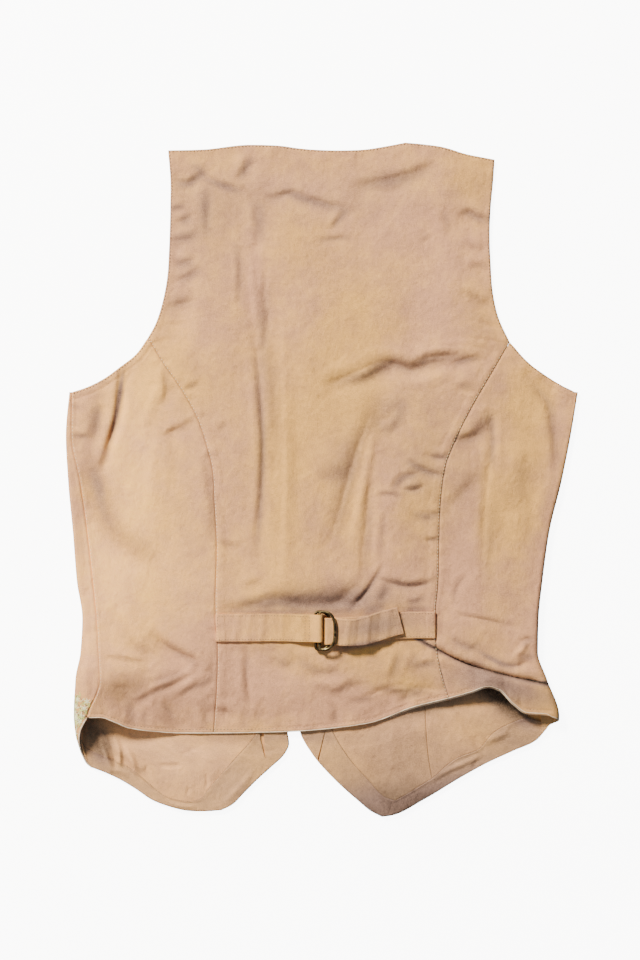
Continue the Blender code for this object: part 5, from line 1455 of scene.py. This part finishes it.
class Wire:
    """A socket of a material, with arithmetic: an expression on wires adds its Math nodes."""

    def __init__(self, maker, socket):
        self.maker, self.socket = maker, socket

    def maths(self, operation, *others):
        return self.maker.add("ShaderNodeMath", {"operation": operation}, self, *others)

    def __add__(self, other):
        return self.maths("ADD", other)

    def __sub__(self, other):
        return self.maths("SUBTRACT", other)

    def __mul__(self, other):
        return self.maths("MULTIPLY", other)

    def __rsub__(self, other):
        return self.maker.add("ShaderNodeMath", {"operation": "SUBTRACT"}, other, self)

    __radd__ = __add__

    def output(self, name):
        """Another output of the same node."""
        return Wire(self.maker, self.socket.node.outputs[name])

    def sine(self):
        return self.maths("SINE")

    def ramp(self, low, high, start=0.0, end=1.0):
        """Passes smoothly from start to end as the wire goes from low to high."""
        return self.maker.add("ShaderNodeMapRange", {"interpolation_type": "SMOOTHSTEP"},
                              self, low, high, start, end)


class Finish:
    """A material of one Principled shader and the nodes that feed it."""

    def __init__(self, name, colour, roughness, metallic=0.0, **constants):
        self.material = bpy.data.materials.new(name)
        self.material.use_nodes = True
        self.nodes = self.material.node_tree.nodes
        self.links = self.material.node_tree.links
        self.shader = self.nodes["Principled BSDF"]
        self.put(self.shader.inputs["Base Color"], colour)
        self.put(self.shader.inputs["Roughness"], roughness)
        self.put(self.shader.inputs["Metallic"], metallic)
        for socket, value in constants.items():
            self.put(self.shader.inputs[socket.replace("_", " ")], value)

    def put(self, socket, value):
        if isinstance(value, Wire):
            self.links.new(value.socket, socket)
        elif isinstance(value, (tuple, list)) and len(value) == 3 and socket.type == "RGBA":
            socket.default_value = (*value, 1)
        else:
            socket.default_value = value

    def add(self, kind, settings, *inputs, output=0, **named):
        """A node of a type, with its settings first, then the values or wires of its sockets."""
        node = self.nodes.new(kind)
        for name, value in settings.items():
            setattr(node, name, value)
        for socket, value in zip(node.inputs, inputs):
            self.put(socket, value)
        for name, value in named.items():
            self.put(node.inputs[name], value)
        return Wire(self, node.outputs[output])

    def noise(self, place, scale, detail=2.0, roughness=0.5):
        return self.add("ShaderNodeTexNoise", {}, Vector=place, Scale=scale,
                        Detail=detail, Roughness=roughness)

    def mixed(self, factor, one, other, blend="MIX"):
        node = self.nodes.new("ShaderNodeMix")
        node.data_type, node.blend_type = "RGBA", blend
        for name, value in (("Factor_Float", factor), ("A_Color", one), ("B_Color", other)):
            self.put(next(s for s in node.inputs if s.identifier == name), value)
        return Wire(self, next(s for s in node.outputs if s.identifier == "Result_Color"))

    def stretched(self, place, scale):
        """The place, scaled, for a pattern."""
        return self.add("ShaderNodeMapping", {}, Vector=place, Scale=scale)

    def place(self):
        return self.add("ShaderNodeTexCoord", {}, output="Object")

    def weave_place(self):
        return self.add("ShaderNodeUVMap", {"uv_map": "weave"})

    def bump(self, height, distance, strength=1.0, over=None):
        named = {} if over is None else {"Normal": over}
        return self.add("ShaderNodeBump", {}, Strength=strength, Distance=distance,
                        Height=height, **named)


def cloth_finish(name, yellow, pink, shade, rib=0.62, depth=0.00012):
    """Brushed cotton twill: ribs on the bias, uneven threads, and colour that is yellower or pinker
    in patches.

    It is yellow to pink, and is greyed towards the shade colour and darkened where painted shade is
    laid on it. The ribs are so far apart and deep.
    """
    made = Finish(name, yellow, 0.88, Sheen_Weight=0.10, Sheen_Roughness=0.5,
                  Sheen_Tint=(0.95, 0.68, 0.45), Specular_IOR_Level=0.18)
    weave = made.weave_place()
    split = made.add("ShaderNodeSeparateXYZ", {}, weave)
    u, v = split * 100, split.output("Y") * 100
    slub = made.noise(made.stretched(weave, (2.6, 0.45, 1)), 62, 3, 0.6)
    cross = made.noise(made.stretched(weave, (0.45, 2.6, 1)), 62, 3, 0.6)
    sway = (slub - 0.5) * 1.6
    bias = ((u * 0.83 + v * 0.56) * (2 * pi / rib) + sway).sine()
    weft = ((v - u * 0.5) * (2 * pi / (rib * 0.62))).sine()
    threads = bias * 0.5 + weft * 0.2 + (cross - 0.5) * 1.6 + (slub - 0.5) * 1.6
    tone = made.add("ShaderNodeAttribute", {"attribute_name": "tone"}, output="Fac")
    cloud = made.noise(weave, 5.5, 4, 0.6)
    patch = made.noise(weave, 1.7, 3, 0.55)
    warm = (tone * 0.62 + (cloud - 0.5) * 1.2 + (patch - 0.5) * 0.8).ramp(-0.7, 0.7)
    colour = made.mixed(warm, pink, yellow)
    # Painted shade greys the colour towards the shade colour and darkens it; painted light, below
    # 0, lightens it
    dull = made.add("ShaderNodeAttribute", {"attribute_name": "dull"}, output="Fac")
    colour = made.mixed((dull * 1.5).ramp(0.0, 0.8, 0.0, 0.8), colour, shade)
    grain = made.noise(weave, 110, 3, 0.75)
    blotch = made.noise(weave, 26, 3, 0.6)
    light = (1.0 + (grain - 0.5) * 1.1 + threads * 0.10 + (cloud - 0.5) * 0.5
             + (blotch - 0.5) * 0.34 - dull)
    level = made.add("ShaderNodeCombineColor", {}, light, light, light)
    made.put(made.shader.inputs["Base Color"], made.mixed(1.0, colour, level, "MULTIPLY"))
    made.put(made.shader.inputs["Roughness"], 0.86 + (cloud - 0.5) * 0.12)
    rumple = made.noise(made.stretched(weave, (1.0, 0.75, 1)), 16, 3, 0.55)
    soft = made.bump(rumple, 0.0016, 0.55)
    made.put(made.shader.inputs["Normal"], made.bump(threads, depth, 0.9, over=soft))
    return made.material


def mottled(made, fine, broad, shares, span, dark, light, bump):
    """Colours a finish from dark to light by two noises, and roughens it with the finer one."""
    place = made.place()
    fine, broad = made.noise(place, *fine), made.noise(place, *broad)
    shade = (fine * shares[0] + broad * shares[1]).ramp(*span)
    made.put(made.shader.inputs["Base Color"], made.mixed(shade, dark, light))
    made.put(made.shader.inputs["Normal"], made.bump(fine, *bump))
    return shade


def brass_finish():
    """Old brass: dark in the hollows and where nothing rubs it, bright on what is touched."""
    made = Finish("antique brass", (0.30, 0.19, 0.09), 0.34, 1.0)
    rubbed = mottled(made, (420, 4, 0.6), (130, 3, 0.6), (0.5, 0.7), (0.56, 0.80),
                     (0.060, 0.043, 0.022), (0.44, 0.33, 0.155), (0.00012, 0.6))
    made.put(made.shader.inputs["Roughness"], 0.50 - rubbed * 0.24)
    return made.material


def thread_finish(name, light, dark, roughness=0.55):
    """Twisted sewing thread, a little lighter and darker from stitch to stitch."""
    made = Finish(name, light, roughness, Sheen_Weight=0.2)
    mottled(made, (1500, 2), (160, 2), (0.6, 0.6), (0.38, 0.78), dark, light, (0.0001, 0.6))
    return made.material


def edging_finish():
    """The cut and turned edge of the cloth: pale, worn, and twisted like cord."""
    made = Finish("worn cloth edge", (0.90, 0.68, 0.47), 0.9, Sheen_Weight=0.1)
    mottled(made, (900, 3, 0.6), (90, 3, 0.6), (0.5, 0.8), (0.42, 0.85),
            (0.68, 0.45, 0.28), (0.97, 0.79, 0.58), (0.00015, 0.7))
    return made.material


def outward(place, points, turn):
    """The cloth's place at points, its direction along a turn from +s, and its outer side."""
    small = 0.25
    s, y = points[:, 0], points[:, 1]
    cos, sin = small * np.cos(turn), small * np.sin(turn)
    run = place(s + cos, y + sin) - place(s - cos, y - sin)
    out = np.cross(run, place(s - sin, y + cos) - place(s + sin, y - cos))
    run /= np.linalg.norm(run, axis=1)[:, None]
    out /= np.linalg.norm(out, axis=1)[:, None]
    return place(s, y), run, out


Thread = namedtuple("Thread", "s y turn long wide")     # a stitch on a cloth, in unrolled places


def stitch_shape():
    """One hump of thread, as long and wide as the unit."""
    mesh = bpy.data.meshes.new("stitch")
    bm = bmesh.new()
    bmesh.ops.create_uvsphere(bm, u_segments=6, v_segments=3, radius=0.5)
    bm.to_mesh(mesh)
    bm.free()
    return mesh


STITCH = stitch_shape()


def threads(name, rows, place, lift, finish, slot, side=1, high=0.84):
    """Stitches, each a short hump of thread on the cloth."""
    s, y, turn, long, wide = np.array(rows).T
    here, run, out = outward(place, np.stack([s, y], axis=1), turn)
    out = out * side
    across = np.cross(out, run)
    mesh = bpy.data.meshes.new(name)
    bm = bmesh.new()
    for _ in rows:
        bm.from_mesh(STITCH)
    bm.to_mesh(mesh)
    bm.free()
    shape = np.array([v.co for v in STITCH.vertices]) * [1, 1, high]
    middle = (here + out * lift - np.array([*MIDDLE, 0.0]))[:, None]
    sizes = (run * long[:, None], across * wide[:, None], out * wide[:, None])
    points = middle + sum(shape[:, k, None] * size[:, None] for k, size in enumerate(sizes))
    mesh.vertices.foreach_set("co", (points * MM).ravel())
    mesh.update()
    mesh.shade_smooth()
    return finished(name, mesh, finish, slot)


def sewn_row(name, line, place, lift, finish, slot, long=2.2, gap=0.9, wide=0.62, side=1):
    """A row of stitches along a cloth line."""
    fine = even(line, max(int(run_along(line)[-1] / (long + gap)), 2) + 1)
    middle, ahead = (fine[:-1] + fine[1:]) / 2, np.diff(fine, axis=0)
    turn = np.arctan2(ahead[:, 1], ahead[:, 0])
    rows = [Thread(s, y, a, long, wide) for (s, y), a in zip(middle, turn)]
    return threads(name, rows, place, lift, finish, slot, side)


def tube(name, points, radius, closed=False):
    """A round cord through points, in millimetres."""
    curve = bpy.data.curves.new(name, "CURVE")
    curve.dimensions = "3D"
    curve.bevel_depth, curve.bevel_resolution = radius * MM, 4
    spline = curve.splines.new("POLY")
    spline.points.add(len(points) - 1)
    for point, place in zip(spline.points, points):
        point.co = (*(np.array(place) * MM), 1)
    spline.use_cyclic_u = closed
    curve.use_fill_caps = not closed
    return curve


def ring_line(bar, lift_at_tip):
    """The middle line of a D-ring's wire: a straight bar, round corners and a curved bar."""
    half, corner = RING_LENGTH / 2, RING_CORNER
    bend = RING_DEPTH - corner
    upper = [(corner * (1 - np.cos(a)), half - corner + corner * np.sin(a))
             for a in np.linspace(0, pi / 2, 8)]
    upper += [(corner + bend * np.cos(a) ** RING_POWER, half * np.sin(a) ** RING_POWER)
              for a in np.linspace(pi / 2, 0, 40)[1:]]
    lower = [(x, -y) for x, y in reversed(upper[:-1])]
    flat = even(np.array(upper + lower + upper[:1]), RING_POINTS + 1)
    lean = np.arcsin((lift_at_tip - bar.lift) / RING_DEPTH)
    height = float(back_height(np.array(BUCKLE[0]), np.array(BUCKLE[1]))) + bar.lift
    return [(bar.x - MIDDLE[0] + x * np.cos(lean), bar.y - MIDDLE[1] + y, height + x * np.sin(lean))
            for x, y in flat[:-1]]


def ring(name, bar, lift_at_tip, finish):
    """A D-ring of wire round a bar, whose curved side is lifted to a height."""
    return finished(name, tube(name, ring_line(bar, lift_at_tip), WIRE / 2, True), finish, "ring")


def on_strap(points, run, share):
    """Places a point of a strap: its distance from the strap's start and from its middle line."""
    def place(along, across):
        row = np.clip(np.interp(along, run, np.arange(len(run))), 0, len(run) - 1.001)
        column_at = np.clip(np.interp(across, share, np.arange(len(share))), 0, len(share) - 1.001)
        i, j = row.astype(int), column_at.astype(int)
        a, b = (row - i)[:, None], (column_at - j)[:, None]
        near = points[i, j] * (1 - b) + points[i, j + 1] * b
        far = points[i + 1, j] * (1 - b) + points[i + 1, j + 1] * b
        return near * (1 - a) + far * a
    return place


# Embroidery: a scroll along the fronts' edges, with leaves and flowers in satin stitch
REPEAT = 21.0          # length of a winding of the stem
REPEAT_POINTS = 24     # stitches of the stem in a winding
SWAY = 4.4             # how far the stem winds to each side
FLOWER_OFF = 3.6       # how far the flowers stand inside the windings
SATIN_SPACING = 0.9
SATIN_LEAN = 0.6       # angle between a thread and the line across its leaf
GROWTH = 3             # something grows out of the stem every so many of its stitches
FLOWER_EVERY = 4       # and every so many of those is a flower
FLOWER_PETALS = 6
# Length and width of a petal and of the stitches of the stem and of a flower's heart, and the
# lean and length of the leaves that grow from one place
PETAL = (3.2, 1.8)
STEM_STITCH = (1.5, 0.8)
HEART_STITCH = (1.5, 0.7)
LEAVES = [(0.9, 5.2), (-0.9, 5.2), (0.15, 4.2)]
LEAF_WIDE = 2.3


def satin(s, y, turn, long, wide):
    """A leaf or petal that starts at a point: slanted threads side by side."""
    rows = []
    for share in np.linspace(0.06, 0.97, max(int(long / SATIN_SPACING), 4)):
        reach = wide * np.sin(pi * share ** 0.8) ** 0.7 + 0.3
        across = 0.15 * wide * np.sin(5 * share + s)
        rows.append(Thread(s + share * long * np.cos(turn) - across * np.sin(turn),
                           y + share * long * np.sin(turn) + across * np.cos(turn),
                           turn + pi / 2 - SATIN_LEAN, reach, 0.8))
    return rows


def embroidery(line):
    """The stems, leaves and petals of a scroll that winds about a line."""
    repeats = max(round(run_along(line)[-1] / REPEAT), 1)
    fine = even(line, REPEAT_POINTS * repeats + 1)
    ahead = np.gradient(fine, axis=0)
    turn = np.arctan2(ahead[:, 1], ahead[:, 0])
    winding = 2 * pi * np.arange(len(fine)) / REPEAT_POINTS
    aside = np.stack([-np.sin(turn), np.cos(turn)], axis=1)
    stem = fine + SWAY * np.sin(winding)[:, None] * aside
    slope = turn + np.arctan(SWAY * np.cos(winding) * 2 * pi / REPEAT)
    stems = [Thread(*point, angle, *STEM_STITCH) for point, angle in zip(stem, slope)]
    leaves, petals = [], []
    for number in range(GROWTH, len(fine) - GROWTH, GROWTH):
        (s, y), angle = stem[number], slope[number]
        high = np.sin(winding[number])
        kind = number // GROWTH % FLOWER_EVERY
        if kind == 2:
            # A flower, where the stem is furthest out
            outer = turn[number] + (pi / 2 if high > 0 else -pi / 2)
            s, y = (s, y) - FLOWER_OFF * high * aside[number]
            for petal in range(FLOWER_PETALS):
                petals += satin(s, y, outer + petal * 2 * pi / FLOWER_PETALS, *PETAL)
            leaves += [Thread(s, y, angle + k * pi / 3, *HEART_STITCH) for k in range(3)]
        elif kind in (1, 3):
            for lean, long in LEAVES:
                leaves += satin(s, y, angle + lean, long, LEAF_WIDE)
        else:
            # Two buds, the larger one on the other side where a winding begins
            petals += satin(s, y, angle + (1.2 if number % REPEAT_POINTS else -1.2), 3.0, 1.5)
            petals += satin(s, y, angle - 1.4, 2.6, 1.4)
    return stems, leaves, petals


# The colours that painted shade greys each cloth towards; the lining's is given in its call
SHADE_PAINT_TWILL = (0.455, 0.282, 0.24)
TWILL = cloth_finish("tan cotton twill", (0.765, 0.40, 0.112), (0.68, 0.335, 0.190), SHADE_PAINT_TWILL)
BACKING = cloth_finish("tan cotton facing", (0.68, 0.365, 0.14), (0.59, 0.33, 0.18), SHADE_PAINT_TWILL)
INSIDE = cloth_finish("tan cotton lining", (0.77, 0.40, 0.145), (0.68, 0.355, 0.185),
                      (0.42, 0.265, 0.175), 0.5, 0.00008)
FINISHES = {"twill": TWILL, "facing": BACKING, "lining": INSIDE}

lined_left, lined = front_left_place(LINING_LIFT), flat_place(LINING_LIFT)
left_front = ["front_left_cloth"]
right_front = ["front_right_cloth"]
linings = ["lining_left_cloth", "lining_right_front_cloth", "lining_right_side_cloth"]
Panel = namedtuple("Panel", "name cloth place thickness slot kind under")
PANELS = rows_of(Panel, [
    ("front_left", front_left_cloth(), front_left_place(FRONT_LIFT, False), FRONT_CLOTH, "twill",
     "front", right_front),
    ("front_right", front_right_cloth(), flat_place(FRONT_LIFT), FRONT_CLOTH, "twill", "front", []),
    ("hem_facing_left", hem_facing_left_cloth(), lined_left, LINING, "facing", "inside",
     left_front),
    ("hem_facing_right", hem_facing_right_cloth(), lined, LINING, "facing", "inside", right_front),
    ("front_facing_left", front_facing_left_cloth(), lined_left, LINING, "facing", "inside",
     left_front),
    ("front_facing_right", front_facing_right_cloth(), lined, LINING, "facing", "inside",
     right_front),
    ("lining_left", lining_left_cloth(), lined_left, LINING, "lining", "inside", left_front),
    ("lining_right_front", lining_right_front_cloth(), lined, LINING, "lining", "inside",
     right_front),
    ("lining_right_side", lining_right_side_cloth(), lined, LINING, "lining", "inside",
     right_front),
    ("back_centre", back_centre_cloth(), on_back, CLOTH, "twill", "back",
     left_front + right_front + linings),
    ("back_side_left", back_side_left_cloth(), LEFT.place, CLOTH, "twill", "back",
     left_front + linings[:1]),
    ("back_side_right", back_side_right_cloth(), RIGHT.place, CLOTH, "twill", "back",
     right_front + linings[2:]),
])
for row in PANELS:
    points = row.place(row.cloth[..., 0], row.cloth[..., 1])
    if "hem_facing" in row.name:
        # The seam's turnings raise the facing along its inner edge.
        points[..., 2] += ridged(np.arange(len(points)), *FACING_RIDGE)[:, None]
    piece = panel(row.name + "_cloth", row.cloth, points, row.thickness, FINISHES[row.slot],
                  row.slot, row.kind)
    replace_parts(piece, row.name)
    laid(row.cloth, row.under)


def under_back(x, y):
    """The turned-up hem, inside the back's outer cloth."""
    points = on_back(x, y)
    points[..., 2] -= CLOTH / 2 + HEM_FOLD / 2 + HEM_FOLD_GAP
    return points


# Pieces of the visual model only: the back's turned-up hem, and a facing inside the right fold
for name, cloth, place, thickness, under in (
        ("hem_fold_left", hem_fold_cloth(-206, -150), under_back, HEM_FOLD, []),
        ("hem_fold_right", hem_fold_cloth(60, 209), under_back, HEM_FOLD, []),
        ("corner_facing_right_cloth", corner_facing_cloth(), corner_place, CORNER_CLOTH,
         ["hem_facing_right_cloth"])):
    piece = panel(name, cloth, place(cloth[..., 0], cloth[..., 1]), thickness, BACKING, "facing",
                  "inside")
    laid(cloth, under)

strap_places, strap_lengths = {}, {}
for name, courses, width, rows in (("strap_left", STRAP_LEFT, STRAP_WIDTH, 200),
                                   ("strap_right", STRAP_RIGHT, TAIL_WIDTH, 260)):
    points = strap_points(courses, width, rows)
    run = run_along(points[:, STRAP_COLUMNS // 2])
    share = np.linspace(-0.5, 0.5, STRAP_COLUMNS + 1) * width
    cloth = np.stack(np.broadcast_arrays(run[:, None], share[None, :]), axis=-1)
    strap = panel(name + "_cloth", cloth, points, STRAP_THICK, TWILL, "twill", "front")
    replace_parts(strap, name)
    width * MM
    strap_places[name], strap_lengths[name] = on_strap(points, run, share), run[-1]

BRASS = brass_finish()
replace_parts(ring("ring_lower_wire", LOWER_BAR, LOWER_BAR.lift, BRASS), "ring_lower")
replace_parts(ring("ring_upper_wire", UPPER_BAR, UPPER_TIP_LIFT, BRASS), "ring_upper")

THREAD = thread_finish("cream thread", (0.95, 0.76, 0.46), (0.60, 0.40, 0.20))
DARK_THREAD = thread_finish("brown thread", (0.25, 0.15, 0.09), (0.12, 0.065, 0.035))
PROUD = 0.02           # how far the middle of a thread stands off the cloth
on_cloth = CLOTH / 2 + PROUD
fine, coarse = 0.62, 0.8
Row = namedtuple("Row", "name line place lift thread wide")
ROWS = rows_of(Row, [
    ("princess_stitches_left", beside(course(PRINCESS_LEFT, 300), -1.15), on_back, on_cloth,
     THREAD, fine),
    ("princess_stitches_right", beside(course(PRINCESS_RIGHT, 300), 1.15), on_back, on_cloth,
     THREAD, fine),
    ("side_stitches_left", side_seam(LEFT, SIDES[0].y - 2, BACK_HEM[0].y + 4, 300, False, 1.3),
     LEFT.place, on_cloth, THREAD, fine),
    ("hem_stitches", cut(HEM_LINE, -205, 205, 400) + np.array([0, 2.9]), on_back,
     on_cloth - 0.1, DARK_THREAD, coarse),
    ("armhole_stitches_left", beside(ARMHOLES[0], -1.5), on_back, on_cloth, DARK_THREAD, coarse),
    ("armhole_stitches_right", beside(ARMHOLES[1], 1.5), on_back, on_cloth, DARK_THREAD, coarse),
    ("neck_stitches", beside(NECKLINE, 1.4), on_back, on_cloth, DARK_THREAD, coarse),
])
for row in ROWS:
    sewn_row(row.name, row.line, row.place, row.lift, row.thread, "twill", wide=row.wide)

# The seams between facing and lining, which show as a dark line
for name, line, place, side in (("left", chain(*facing_seams_left()), lined_left, -1),
                                ("right", chain(*facing_seams_right()), lined, 1)):
    sewn_row(f"facing_seam_stitches_{name}", line, place, 0.42, DARK_THREAD, "lining", long=1.8,
             gap=0.1, wide=0.6, side=side)

# Stitches on the straps: strap, first and last distance along it, and across it, and side up
Seam = namedtuple("Seam", "strap start end low high up")
STITCHES_IN = 1.7      # how far in from a strap's edges they run
half_left, half_right = STRAP_WIDTH / 2 - STITCHES_IN, TAIL_WIDTH / 2 - STITCHES_IN
tail = strap_lengths["strap_right"]
STRAP_SEAMS = rows_of(Seam, [
    ("strap_left", 1.8, 83, half_left, half_left, 1),
    ("strap_left", 1.8, 83, -half_left, -half_left, 1),
    ("strap_left", 1.6, 1.6, -half_left, half_left, 1),
    ("strap_left", 80.6, 80.6, -half_left, half_left, 1),
    ("strap_left", 84.6, 84.6, -half_left, half_left, 1),
    ("strap_right", 2.6, 32, half_right, half_right, -1),
    ("strap_right", 2.6, 32, -half_right, -half_right, -1),
    ("strap_right", 2.6, 2.6, -half_right, half_right, -1),
    ("strap_right", tail - 66, tail - 2, half_right, half_right, 1),
    ("strap_right", tail - 66, tail - 2, -half_right, -half_right, 1),
    ("strap_right", tail - 2.4, tail - 2.4, -half_right, half_right, 1),
    ("strap_right", tail - 5.6, tail - 5.6, -half_right, half_right, 1),
])
for number, seam in enumerate(STRAP_SEAMS):
    line = straight((seam.start, seam.low), (seam.end, seam.high), 90)
    sewn_row(f"strap_stitches_{number + 1}", line, strap_places[seam.strap],
             STRAP_THICK / 2 + PROUD, DARK_THREAD, "twill", long=1.6, gap=1.0, wide=0.55,
             side=seam.up)

# Edges that show their turning: the hem and its inner turning, and the left front's curled hem
EDGING = edging_finish()
hem_run = cut(HEM_LINE, -208, 203, 420)
roll_from = roll_end(RIGHT, HEM_RIGHT_TOP - 1, HEM_RIGHT_TOP - 1, 1, False)[0]
roll_to = side_seam(RIGHT, HEM_RIGHT_END, HEM_RIGHT_END, 1, True, -SEAM_INSET)[0]
hem_roll = straight(roll_from, roll_to, 40)
inner_run = cut(HEM_LINE, 62, 205, 160)
curl = even(left_curl(70), 90)
for name, points, radius in (
        ("hem_edge",
         np.concatenate([on_back(hem_run[:, 0], hem_run[:, 1] - 0.1) + [0, 0, 0.12],
                         RIGHT.place(hem_roll[:, 0], hem_roll[:, 1])]), 0.62),
        ("hem_inner_edge",
         on_back(inner_run[:, 0], inner_run[:, 1] - 1.5) - [0, 0, 1.25], 0.42),
        ("curl_rim", front_left_place(0.45, False)(curl[:, 0], curl[:, 1]), 0.8)):
    finished(name, tube(name, points - np.array([*MIDDLE, 0.0]), radius), EDGING, "twill")

# The fronts' embroidery, on the outside of the cloth, along the hem and up the front edges
LEAF_THREAD = thread_finish("pale green silk", (0.86, 0.90, 0.28), (0.36, 0.38, 0.06), 0.38)
PETAL_THREAD = thread_finish("cream silk", (1.0, 0.98, 0.74), (0.88, 0.80, 0.44), 0.38)
STEM_THREAD = thread_finish("olive silk", (0.26, 0.21, 0.07), (0.12, 0.09, 0.03), 0.38)
SILKS = [("stems", STEM_THREAD), ("leaves", LEAF_THREAD), ("petals", PETAL_THREAD)]
EDGE_CLEAR = 1.6       # the embroidery keeps this far inside the edge
outside = FRONT_LIFT - FRONT_CLOTH / 2 - 0.06
curl = even(left_curl(60)[::-1], 80)
left_band = chain(curl, left_under(course(HEM_LEFT, 70)), left_under(course(EDGE_LEFT, 90)))
right_band = chain(course(HEM_RIGHT, 90), course(EDGE_RIGHT, 90))
left_lines = [beside(even(left_band, 220), 9.0)] + [beside(curl, off) for off in (4.6, 10.5, 16.0)]
# Above the left hem it fills the strip between the side seam and the fold.
for y in (-210.0, -204.0, -198.0):
    seam_end = side_seam(LEFT, y, y, 1, False, -SEAM_INSET - 1.2)[0]
    left_lines.append(straight(seam_end, roll_end(LEFT, y, y, 1, True)[0], 20))
right_lines = [beside(even(right_band, 220), 9.0)]
for name, lines, edge, place in (
        ("left", left_lines, left_band, front_left_place(outside, False)),
        ("right", right_lines, right_band, flat_place(outside))):
    for (kind, silk), parts in zip(SILKS, zip(*(embroidery(line) for line in lines))):
        rows = np.array(sum(parts, []))
        rows = rows[beside_line(rows[:, 0], rows[:, 1], edge)[0] > EDGE_CLEAR]
        threads(f"embroidery_{kind}_{name}", rows, place, 0.0, silk, "twill", high=0.5)


def area_light(name, place, towards, size, watts, colour):
    """A round soft light at a place, turned towards another."""
    data = bpy.data.lights.new(name, "AREA")
    data.shape, data.size, data.energy, data.color = "DISK", size, watts, colour
    lamp = bpy.data.objects.new(name, data)
    lamp.location = place
    lamp.rotation_euler = (Vector(towards) - Vector(place)).to_track_quat("-Z", "Y").to_euler()
    bpy.context.scene.collection.objects.link(lamp)


def stage():
    """A plain pale floor, soft studio light, and a camera straight above."""
    mesh = bpy.data.meshes.new("floor")
    bm = bmesh.new()
    bmesh.ops.create_grid(bm, x_segments=1, y_segments=1, size=6.0)
    bm.to_mesh(mesh)
    bm.free()
    floor = bpy.data.objects.new("floor", mesh)
    bpy.context.scene.collection.objects.link(floor)
    paper = Finish("pale floor", (0.90, 0.90, 0.90), 0.9, Emission_Color=(1.0, 1.0, 1.0),
                   Emission_Strength=8.5)
    mesh.materials.append(paper.material)
    # The floor's glow would wash the folds out from below.
    floor.visible_diffuse = floor.visible_glossy = False
    area_light("key", (-2.20, 2.95, 2.45), (0, 0, 0), 1.0, 610, (1.0, 0.94, 0.79))
    area_light("fill", (-1.6, -1.0, 1.1), (-0.1, -0.1, 0), 1.2, 14, (1.0, 0.89, 0.70))
    world = bpy.data.worlds.new("studio")
    bpy.context.scene.world = world
    world.use_nodes = True
    sky = world.node_tree.nodes["Background"]
    sky.inputs["Color"].default_value = (0.60, 0.79, 1.0, 1)
    sky.inputs["Strength"].default_value = 0.24
    data = bpy.data.cameras.new("camera")
    data.sensor_fit, data.sensor_height, data.sensor_width = "VERTICAL", 36.0, 24.0
    height, seen = 2.6, 0.864      # of the camera, and how much of the plan it sees, in metres
    data.lens = data.sensor_height * height / seen
    data.clip_end = 20
    camera = bpy.data.objects.new("camera", data)
    camera.location = (-0.0015, -0.0002, height + 0.007)
    bpy.context.scene.collection.objects.link(camera)
    bpy.context.scene.camera = camera


stage()
